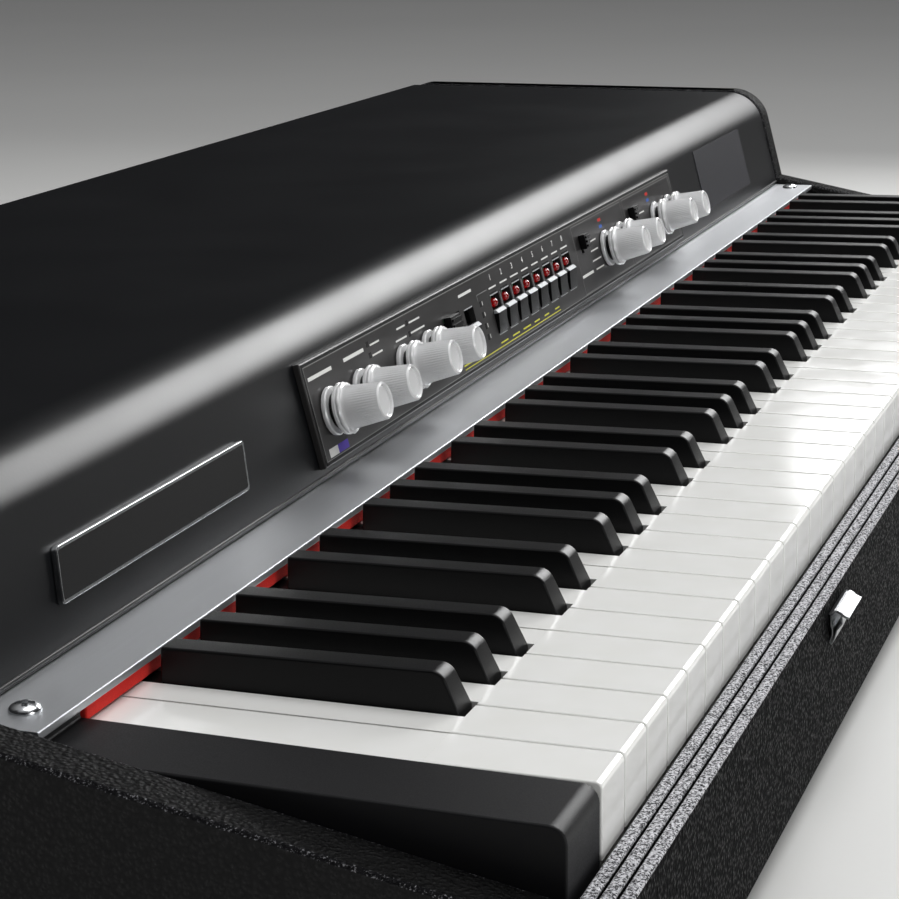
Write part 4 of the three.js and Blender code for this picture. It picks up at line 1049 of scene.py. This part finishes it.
def knob_shape():
    """A whole knob about +Z, with its flutes and scallops."""
    bm = bmesh.new()
    turned(bm, KNOB_PROFILE, KNOB_STEPS)
    step_angle = 2 * math.pi / KNOB_STEPS
    for vert in bm.verts:
        radius = Vector(vert.co.xy).length
        angle = math.atan2(vert.co.y, vert.co.x)
        draw = 0
        if FLUTE_START < vert.co.z < FLUTE_END and radius > FLUTED_RADIUS:
            draw = FLUTE_DEPTH if round(angle / step_angle) % 2 else 0
        elif SCALLOP_START < vert.co.z < SCALLOP_END and radius > SCALLOPED_RADIUS:
            draw = SCALLOP_DEPTH * (1 - math.cos(SCALLOP_COUNT * angle)) / 2
        if draw:
            vert.co.x *= (radius - draw) / radius
            vert.co.y *= (radius - draw) / radius
    return bm


for node_name in KNOBS:
    spot = Matrix.Translation((middle_of(node_name), CONTROL_LINE, KNOB_SEAT))
    knob = piece(f"clear_{node_name}", knob_shape(), f"{node_name}_body",
                 clear_acrylic, FACE_FRAME @ spot, smooth_below=20)
    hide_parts(node_name)
    # A black ring in the gap at the neck: painted shade.
    neck = bmesh.new()
    turned(neck, NECK_SHADE_PROFILE, 32)
    piece(f"neck_{node_name}", neck, f"{node_name}_body", black_abs,
          FACE_FRAME @ spot)
print("a knob has", len(knob.data.polygons), "faces")

# %% [markdown]
# ## Buttons, lamps and slides
# A push button fills the lower part of its window. Its face slopes out to a ridge that is
# capped with a bar of translucent grey plastic. A round red lamp sits in the dark space
# above it. The slide switches have small black caps with finger ribs.

# %% Push buttons
BUTTON_HEIGHT, BANK_BUTTON_HEIGHT, BUTTON_BAR, BUTTON_SKIRT = 10.6, 10.2, 1.6, -5.0
BUTTON_FACE, BUTTON_PEAK, BUTTON_BACK, BAR_DEPTH = 0.6, 2.2, 1.0, 1.0
BUTTON_FOOT = WINDOW_FOOT + 0.35
CAP_ROUND, BAR_ROUND, BAR_RISE = 0.35, 0.12, 0.1
STEM_FOOT, STEM_WIDTH, STEM_DEPTH = 3.5, 4.0, 4.0


def button(name, height):
    """A push button: its cap with a stem, and the bar along its ridge."""
    start, end = across(name)
    ridge = BUTTON_FOOT + height - BUTTON_BAR
    cap = bmesh.new()
    seat = PANEL_TOP + BUTTON_BACK - BAR_DEPTH
    prism(cap, [
        (BUTTON_FOOT, BUTTON_SKIRT), (BUTTON_FOOT, PANEL_TOP + BUTTON_FACE),
        (ridge, PANEL_TOP + BUTTON_PEAK), (ridge, seat), (ridge + BUTTON_BAR, seat),
        (ridge + BUTTON_BAR, BUTTON_SKIRT),
    ], start, end)
    rounded(cap, sharp_edges(cap), CAP_ROUND, 2)
    left, stem = (start + end - STEM_WIDTH) / 2, BUTTON_FOOT + STEM_FOOT
    block(cap, (left, stem, BUTTON_SKIRT - STEM_DEPTH),
          (left + STEM_WIDTH, stem + STEM_WIDTH, BUTTON_SKIRT + 1))
    body = f"{name}_body"
    made = piece(f"cap_{name}", cap, body, black_abs, FACE_FRAME)
    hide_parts(name)
    bar = bmesh.new()
    prism(bar, [
        (ridge, seat), (ridge, PANEL_TOP + BUTTON_PEAK + BAR_RISE),
        (ridge + BUTTON_BAR, PANEL_TOP + BUTTON_BACK), (ridge + BUTTON_BAR, seat),
    ], start, end)
    rounded(bar, sharp_edges(bar), BAR_ROUND, 2)
    piece(f"bar_{name}", bar, body, light_bar, FACE_FRAME)


for name in BUTTONS:
    button(name, BUTTON_HEIGHT)
button("bank_button", BANK_BUTTON_HEIGHT)
print("buttons stand", BUTTON_PEAK, "mm proud of the panel")

# %% Red lamps
LAMP_LINE, LAMP_FOOT, LAMP_RADIUS = 27.6, 1.4, 2.1
LAMP_PROFILE = [
    (0, 0), (LAMP_RADIUS, 0), (LAMP_RADIUS, 0.6), (1.9, 1.3), (1.5, 1.9), (0.85, 2.3), (0, 2.4),
]
for number, name in enumerate(BUTTONS, 1):
    lamp_bm = bmesh.new()
    turned(lamp_bm, LAMP_PROFILE, 24)
    spot = Matrix.Translation((middle_of(name), LAMP_LINE, LAMP_FOOT))
    piece(f"lamp_{number}", lamp_bm, CASE, red_lens, FACE_FRAME @ spot, 60)
print("lamps are", 2 * LAMP_RADIUS, "mm across")

# %% Slide switch caps
SLIDE_RISE, SLIDE_SHOULDER, SLIDE_FLOAT, SLIDE_ROUND, SLIDE_RIBS = 4.6, 0.8, 0.3, 0.5, 3
SLIDE_RIB_INSET, SLIDE_STEM, SLIDE_STEM_FOOT = 0.6, 3.0, -5.3


def slide_cap(name, line, height):
    """A slide cap with a base, finger ribs across it and the stem that goes through its slot."""
    start, end = across(name)
    cap = bmesh.new()
    low, high = line - height / 2, line + height / 2
    block(cap, (start, low, PANEL_TOP + SLIDE_FLOAT),
          (end, high, PANEL_TOP + SLIDE_RISE - SLIDE_SHOULDER))
    rounded(cap, sharp_edges(cap), SLIDE_ROUND, 2)
    pitch = height / (2 * SLIDE_RIBS + 1)
    for i in range(SLIDE_RIBS):
        rib_line = low + (2 * i + 1) * pitch
        block(cap, (start + SLIDE_RIB_INSET, rib_line, PANEL_TOP + 1),
              (end - SLIDE_RIB_INSET, rib_line + pitch, PANEL_TOP + SLIDE_RISE))
    left, foot_line = (start + end - SLIDE_STEM) / 2, line - SLIDE_STEM / 2
    block(cap, (left, foot_line, SLIDE_STEM_FOOT),
          (left + SLIDE_STEM, foot_line + SLIDE_STEM, PANEL_TOP + 1))
    made = piece(f"cap_{name}", cap, f"{name}_body", black_abs,
                 FACE_FRAME)
    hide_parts(name)


slide_cap("bank_slide", BANK_SLOT_FOOT + BANK_SLOT_HEIGHT / 2, 8.6)
for name in EFFECT_SLIDES:
    slide_cap(name, EFFECT_LINE, 7.4)
print("slide caps stand", SLIDE_RISE, "mm proud of the panel")

# %% [markdown]
# ## Printing on the panel
# A printed word is stood for by one plain low bar of its length, and only the numbers 1 to 8
# are real figures. Each bar is a very flat box, so that it stays crisp at any distance, and
# all bars of one ink are one piece. The places were read from the photograph, along and up
# the cover face.

# %% Bars of ink
INK_LOW, INK_HIGH, TRIM_HIGH = PANEL_TOP - 0.02, PANEL_TOP + 0.06, PANEL_TOP + 0.12
THIN_LINE, SMALL_WORD, WORD_FOOT, WORD_SHARE = 0.35, 1.7, 0.3, 0.4


def bars(name, places, material, high=INK_HIGH):
    """One piece of flat bars, each (start, foot, width, height) on the face."""
    sheet = bmesh.new()
    for start, foot_line, width, height in places:
        block(sheet, (start, foot_line, INK_LOW), (start + width, foot_line + height, high))
    piece(name, sheet, CASE, material, FACE_FRAME)


def word(start, foot_line, length, height):
    """One low bar in the middle of the line where a word is printed."""
    return [(start, foot_line + height * WORD_FOOT, length, height * WORD_SHARE)]


def box_lines(left, foot_line, right, top, width=THIN_LINE):
    """Four thin bars around a rectangle."""
    return [(left, foot_line, right - left, width), (left, top - width, right - left, width),
            (left, foot_line, width, top - foot_line),
            (right - width, foot_line, width, top - foot_line)]


white_bars = word(234, 35.9, 23, 3.5) + word(269.5, 36, 21, 3.5) + word(404, 36.5, 17, 3.0)
for start, foot_line, length in [
    (297.8, 37.2, 10), (297.8, 33, 11), (328, 37.6, 9.5), (342.4, 37.6, 12.5),
    (324.2, 33.2, 12.4), (342.1, 33.4, 16), (593.4, 29.4, 20), (601.1, 24.6, 12.5),
    (600.5, 19.6, 14.8), (603.1, 15, 13.9), (690, 29.4, 20), (696.5, 24.6, 12.5),
    (696, 19.6, 14.8), (698.5, 15, 13.9),
]:
    white_bars += word(start, foot_line, length, SMALL_WORD)
for name, length in zip(BUTTONS, (10, 10, 11.5, 10, 10, 10.5, 9.5, 11)):
    white_bars += word(middle_of(name) - length / 2, 33.6, length, SMALL_WORD)
white_bars += word(578.5, 14.2, 19, 3.4) + word(674, 14.2, 19, 3.4)
BANK_MARKS = (30.2, 25.3, 20.2, 15.3)
white_bars += [(430.6, mark - 0.9, 0.6, 1.8) for mark in BANK_MARKS]
bars("white_print", white_bars, white_ink)

black_print_and_shadows = [(294.4, 37.7, 2.4, 2.2), (294.7, 33.3, 2.4, 2.2), (339.1, 37.7, 2.4, 2.2),
               (339.4, 33.1, 2.4, 2.2)]
black_print_and_shadows += [(427.4, mark - 1.3, 2.2, 2.6) for mark in BANK_MARKS]
black_print_and_shadows += box_lines(PANEL_LEFT + 0.8, PANEL_FOOT + 0.7, PANEL_RIGHT - 0.8,
                         PANEL_HEAD - 0.8, 1.1)
# A black bar over each button window is painted shadow under the window's upper rim.
for name in BUTTONS:
    start = middle_of(name) - WINDOW_WIDTH / 2
    black_print_and_shadows.append((start + 0.6, WINDOW_HEAD + 0.6, WINDOW_WIDTH - 2.4, 0.8))
bars("black_print_and_shade", black_print_and_shadows, black_ink)
print("white bars:", len(white_bars))

# %% Grey lines, colours and the window trim, with painted highlights along the window heads
grey_lines = box_lines(577.2, 7.1, 668.6, 41.4) + box_lines(672.7, 7.1, 771, 41.4)
grey_lines += box_lines(PANEL_LEFT + 1.9, PANEL_FOOT + 1.8, PANEL_RIGHT - 1.9, PANEL_HEAD - 1.9)
grey_lines += [(426, 34.4, 14.5, THIN_LINE), (426, 31.8, THIN_LINE, 2.6)]
bars("grey_print", grey_lines, grey_ink)
yellow_bars = [(391, 7.9, 142, 0.4)]
for start, length in [(390.7, 13), (442, 10), (459, 10), (475, 11), (492, 8), (508, 7),
                      (525, 7)]:
    yellow_bars += word(start, 9, length, 1.6)
bars("yellow_print", yellow_bars, yellow_ink)
bars("red_print", [(624, 37.2, 5, 1.6), (719, 37.2, 5, 1.6)], red_ink)
bars("blue_print", [(624, 33.8, 5, 1.6), (719, 33.8, 5, 1.6)], blue_ink)
bars("label_print", [(236, 7.4, 8.5, 3.2)], white_ink)
bars("violet_print", [(244.6, 7.4, 10, 3.2)], violet_ink)
trim = []
# The light bar along the head of each window is a painted highlight on its edge; the bars under
# the windows and between them are trim.
for name in BUTTONS + ["bank_button"]:
    left = middle_of(name) - WINDOW_WIDTH / 2
    trim.append((left + 0.4, WINDOW_HEAD, WINDOW_WIDTH - 1.6, 0.5))
    trim.append((left + 0.6, WINDOW_FOOT - 0.5, WINDOW_WIDTH - 1.2, 0.4))
    if name in BUTTONS[1:]:
        trim.append((left - 1.95, WINDOW_FOOT + BUTTON_HEIGHT, 0.3, WINDOW_HEIGHT - BUTTON_HEIGHT))
bars("window_trim_and_highlights", trim, light_bar, TRIM_HIGH)
print("window trim:", len(trim), "bars")

# %% Numbers over the buttons
NUMBER_LINE, NUMBER_HEIGHT, NUMBER_LIFT = 37.7, 2.7, 0.03
HEIGHT_SHARE = 0.72  # a figure's height as a share of the font's size
NUMBER_DEPTH, NUMBER_BOLD = 0.04, 0.05

numbers_bm = bmesh.new()
for number, name in enumerate(BUTTONS, 1):
    figure = bpy.data.curves.new(f"figure_{number}", "FONT")
    figure.body = str(number)
    figure.size = NUMBER_HEIGHT / HEIGHT_SHARE
    figure.align_x = "CENTER"
    figure.extrude = NUMBER_DEPTH
    figure.offset = NUMBER_BOLD
    figure.resolution_u = 4
    carrier = bpy.data.objects.new("figure", figure)
    bpy.context.scene.collection.objects.link(carrier)
    bpy.context.view_layer.update()
    evaluated = carrier.evaluated_get(bpy.context.evaluated_depsgraph_get())
    single = bmesh.new()
    single.from_mesh(evaluated.to_mesh())
    evaluated.to_mesh_clear()
    bpy.data.objects.remove(carrier)
    bpy.data.curves.remove(figure)
    bmesh.ops.remove_doubles(single, verts=single.verts[:], dist=NEAR)
    spot = (middle_of(name), NUMBER_LINE, PANEL_TOP + NUMBER_LIFT)
    added(numbers_bm, single, Matrix.Translation(spot))
piece("numbers", numbers_bm, CASE, white_ink, FACE_FRAME)
print("numbers 1 to", len(BUTTONS))

# %% [markdown]
# ## Plates on the cover
# The plate on the left is left bare: a black plate in a bright frame. A plain dark plate
# fills the place at the right of the panel.

# %% Bare plates
PLATE_LEFT, PLATE_FOOT, PLATE_WIDTH, PLATE_HEIGHT, PLATE_TOP = 31.6, 13.4, 136.0, 16.6, 2.2
PLATE_LEAN, PLATE_FRAME = 4.8, 1.1
PLAQUE_LEFT, PLAQUE_FOOT, PLAQUE_WIDTH, PLAQUE_HEIGHT = 849, 10, 121, 36


def plate(left, foot_line, width, height, low, high, corner, edge, lean=0.0):
    """A flat plate with rounded corners and a small round on its upper edge."""
    bm = bmesh.new()
    block(bm, (left, foot_line, low), (left + width, foot_line + height, high))
    upper = [vert for vert in bm.verts if vert.co.y > foot_line + height / 2]
    bmesh.ops.translate(bm, verts=upper, vec=(lean, 0, 0))
    upright = [e for e in bm.edges if abs(e.verts[0].co.z - e.verts[1].co.z) > NEAR]
    rounded(bm, upright, corner, 4)
    rounded(bm, edges_where(bm, lambda co: co.z > high - NEAR), edge, 2)
    return bm


rim_bm = plate(PLATE_LEFT, PLATE_FOOT, PLATE_WIDTH, PLATE_HEIGHT, 0.3, PLATE_TOP, 1.5, 0.4,
               PLATE_LEAN)
rim = piece("plate_rim", rim_bm, CASE, chrome, FACE_FRAME)
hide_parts("name_plate")
inner_width, inner_height = PLATE_WIDTH - 2 * PLATE_FRAME, PLATE_HEIGHT - 2 * PLATE_FRAME
inlay_bm = plate(PLATE_LEFT + PLATE_FRAME, PLATE_FOOT + PLATE_FRAME, inner_width, inner_height,
                 1, PLATE_TOP + 0.05, 1, 0.1, PLATE_LEAN * inner_height / PLATE_HEIGHT)
piece("plate_inlay", inlay_bm, CASE, black_ink, FACE_FRAME)
plaque_bm = plate(PLAQUE_LEFT, PLAQUE_FOOT, PLAQUE_WIDTH, PLAQUE_HEIGHT, 0.05, 0.35, 0.6, 0.1)
piece("plaque", plaque_bm, CASE, dark_foil, FACE_FRAME)
print("the bare plate is", PLATE_WIDTH, "by", PLATE_HEIGHT, "mm")

# %% [markdown]
# ## Feet and sockets
# The rubber feet are turned, with the screw recess in the middle. On the back, the jack
# sockets get their chrome rings, and the others their contacts.

# %% Feet
FOOT_PROFILE = [
    (0, 3), (7.4, 3), (8, 2.6), (8, 0.4), (8.4, 0), (18.2, 0), (19, 0.8), (18.8, 2),
    (16.4, 11), (16, 11.7), (0, 11.7),
]
for row in ("front", "rear"):
    for column in ("left", "right"):
        node_name = f"foot_{row}_{column}"
        low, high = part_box(node_name)
        foot_bm = bmesh.new()
        turned(foot_bm, FOOT_PROFILE, 48)
        place = Matrix.Translation(((low.x + high.x) / 2, (low.y + high.y) / 2, low.z))
        rubber_foot = piece(f"rubber_{node_name}", foot_bm, CASE, foot_rubber,
                            place @ Matrix.Scale(MM, 4))
        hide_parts(node_name)
print("each foot is", 2 * max(radius for radius, _ in FOOT_PROFILE), "mm across")

# %% Sizes at the back
BACK_MARGIN, OPENING_WIDTH, SOCKET_PITCH = 90, 260, 24
OPENING_LEFT = INNER_RIGHT - BACK_MARGIN - OPENING_WIDTH
SOCKET_LINE, PLATE_OUTER = -28.0, 417.7
JACKS = [OPENING_LEFT + 20 + SOCKET_PITCH * i for i in range(4)]
DIGITAL = [OPENING_LEFT + 20 + SOCKET_PITCH * i for i in (4, 5)]
PORT = (OPENING_LEFT + 161, OPENING_LEFT + 167)
INLET = OPENING_LEFT + OPENING_WIDTH - 32.5
RING_PROFILE = [(3.6, 0), (6.2, 0), (6.2, 0.8), (5.6, 1.3), (4.2, 1.3), (3.6, 0.8), (3.6, 0)]
RING_OUT, FACE_OUT = 2, 1
FACE_RADII, FACE_DEPTH = (7.2, 7.0), 0.6
PIN_CIRCLE, PIN_RADIUS, PIN_DEPTH, PIN_LIFT = 4.6, 0.7, 0.5, 0.75
BLADE_REACH, BLADE_TALL, TONGUE_TALL = 1, 2.4, 1.4
print("the sockets lie", -SOCKET_LINE, "mm below the key tops")

# %% Rings and contacts on the back
def rear_place(x, y):
    """A spot on the socket line, facing the rear."""
    spot = Matrix.Translation((x, y, SOCKET_LINE))
    return KEY_FRAME @ spot @ Matrix.Rotation(-math.pi / 2, 4, "X")


for number, x in enumerate(JACKS, 1):
    ring = bmesh.new()
    turned(ring, RING_PROFILE, 32)
    piece(f"jack_ring_{number}", ring, CASE, chrome,
          rear_place(x, PLATE_OUTER + RING_OUT))
for number, x in enumerate(DIGITAL, 1):
    place = rear_place(x, PLATE_OUTER + FACE_OUT)
    contacts = bmesh.new()
    bmesh.ops.create_cone(
        contacts, cap_ends=True, segments=32, radius1=FACE_RADII[0], radius2=FACE_RADII[1],
        depth=FACE_DEPTH, matrix=Matrix.Translation((0, 0, FACE_DEPTH / 2)),
    )
    piece(f"digital_face_{number}", contacts, CASE, foot_rubber, place)
    pins = bmesh.new()
    for angle in range(0, 181, 45):
        turn = math.radians(angle)
        spot = (PIN_CIRCLE * math.cos(turn), PIN_CIRCLE * math.sin(turn), PIN_LIFT)
        cylinder(pins, PIN_RADIUS, PIN_DEPTH, 12, Matrix.Translation(spot))
    piece(f"digital_pins_{number}", pins, CASE, zinc, place)
blades = bmesh.new()
for shift, rise in ((-7, 2), (0, -3), (7, 2)):
    middle, line = INLET + shift, SOCKET_LINE + rise
    block(blades, (middle - BLADE_REACH, PLATE_OUTER - 14, line - BLADE_TALL),
          (middle + BLADE_REACH, PLATE_OUTER - 4, line + BLADE_TALL))
piece("inlet_blades", blades, CASE, zinc)
tongue = bmesh.new()
block(tongue, (PORT[0], PLATE_OUTER - 11, SOCKET_LINE - TONGUE_TALL),
      (PORT[1], PLATE_OUTER - 1.5, SOCKET_LINE + TONGUE_TALL))
piece("port_tongue", tongue, CASE, foot_rubber)
print("sockets:", len(JACKS), "jacks,", len(DIGITAL), "digital, one port, one inlet")

# %% [markdown]
# ## Materials for the solids that stay
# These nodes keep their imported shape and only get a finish.

# %% Finish the nodes
STAYING = {
    "panel_board": circuit, "main_board": circuit,
    "case_bottom": board_vinyl, "case_back": board_vinyl, "key_frame": zinc,
    "connector_plate": zinc, "power_supply": zinc, "power_switch": satin_black,
}
for node_name, material in STAYING.items():
    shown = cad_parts[node_name]
    shown.data.materials.clear()
    shown.data.materials.append(material)
hidden = [name for name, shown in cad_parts.items() if shown.hide_render]
left_over = sorted(set(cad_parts) - set(STAYING) - set(hidden))
print("stood for:", len(hidden), "finished:", len(STAYING), "left over:", left_over)

# %% [markdown]
# ## Floor and light
# The piano stands on a plain pale floor. Three soft panels stand beyond the treble end, each
# lower and farther back than the one before: the camera sees the bend of the cover reflect
# them as one soft band. A wide soft light hangs overhead, a small low one stands in front and
# another one behind, and the studio around them is pale above and dim at eye level, so that
# the flat top stays black.

# %% Floor
FLOOR_REACH = 12
floor_paint = finish("pale matt floor", "#d0d0ce", 0.6)
grain(floor_paint, "ShaderNodeTexNoise", 400, {"Detail": 3.0}, tones=("#cdcdcb", "#d3d3d1"))
floor_bm = bmesh.new()
bmesh.ops.create_grid(floor_bm, x_segments=1, y_segments=1, size=FLOOR_REACH)
floor_mesh = bpy.data.meshes.new("floor")
floor_bm.to_mesh(floor_mesh)
floor_bm.free()
floor_mesh.materials.append(floor_paint)
floor = bpy.data.objects.new("floor", floor_mesh)
bpy.context.scene.collection.objects.link(floor)
floor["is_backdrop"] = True
print("floor at z", floor.location.z)

# %% Lights
def soft_light(name, start, end, aim, width, power):
    """A soft box whose length runs from start to end, turned towards a point."""
    start, end, aim = Vector(start), Vector(end), Vector(aim)
    middle, along = (start + end) / 2, (end - start).normalized()
    back = middle - aim
    back = (back - along * back.dot(along)).normalized()
    data = bpy.data.lights.new(name, "AREA")
    data.shape = "RECTANGLE"
    data.size, data.size_y = width, (end - start).length
    data.energy = power
    lamp = bpy.data.objects.new(name, data)
    axes = Matrix((along.cross(back), along, back)).transposed()
    lamp.matrix_world = Matrix.Translation(middle) @ axes.to_4x4()
    bpy.context.scene.collection.objects.link(lamp)


# Each light: name, start, end, the point it is turned to, width in metres, power in watts
LIGHTS = [
    ("high panel", (1.4, -0.615, 0.883), (1.4, -0.817, 1.131), (-0.45, -0.03, 0.16), 1.2, 14),
    ("middle panel", (1.4, -0.35, 0.737), (1.4, -0.481, 0.973), (-0.3, -0.03, 0.16), 0.88, 8.7),
    ("low panel", (1.5, -0.115, 0.406), (1.5, -0.258, 0.822), (0.1, -0.03, 0.16), 0.55, 3.8),
    ("overhead", (-1.2, -0.7, 2.4), (1.2, -0.7, 2.4), (0.0, 0.0, 0.1), 1.8, 42),
    ("front", (-1.9, -2.5, 0.5), (-0.7, -2.8, 0.5), (-0.2, 0.0, 0.1), 0.9, 22),
    ("behind", (-2.4, 2.4, 1.0), (-0.4, 2.6, 1.0), (0.0, 0.1, 0.1), 0.9, 18),
]
for light in LIGHTS:
    soft_light(*light)
print("lights:", len(LIGHTS))

# %% Studio around the piano
world = bpy.data.worlds.new("studio")
world.use_nodes = True
sight = node(world, "ShaderNodeTexCoord")
rise = node(world, "ShaderNodeSeparateXYZ", links={"Vector": sight.outputs["Generated"]})
ceiling = node(
    world, "ShaderNodeMapRange", {"From Min": 0.5, "From Max": 0.9}, {"Value": rise.outputs["Z"]}
)
tones = {"data_type": "RGBA", 6: linear("#2a2a2c"), 7: linear("#e4e4e6")}
tint = node(world, "ShaderNodeMix", tones, {0: ceiling.outputs["Result"]})
backdrop = world.node_tree.nodes["Background"]
world.node_tree.links.new(tint.outputs[2], backdrop.inputs["Color"])
backdrop.inputs["Strength"].default_value = 0.5
bpy.context.scene.world = world
bpy.context.scene.view_settings.view_transform = "Standard"
print("the studio is dim below eye level and pale above")

# %% Bounds of the shown pieces
low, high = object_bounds()
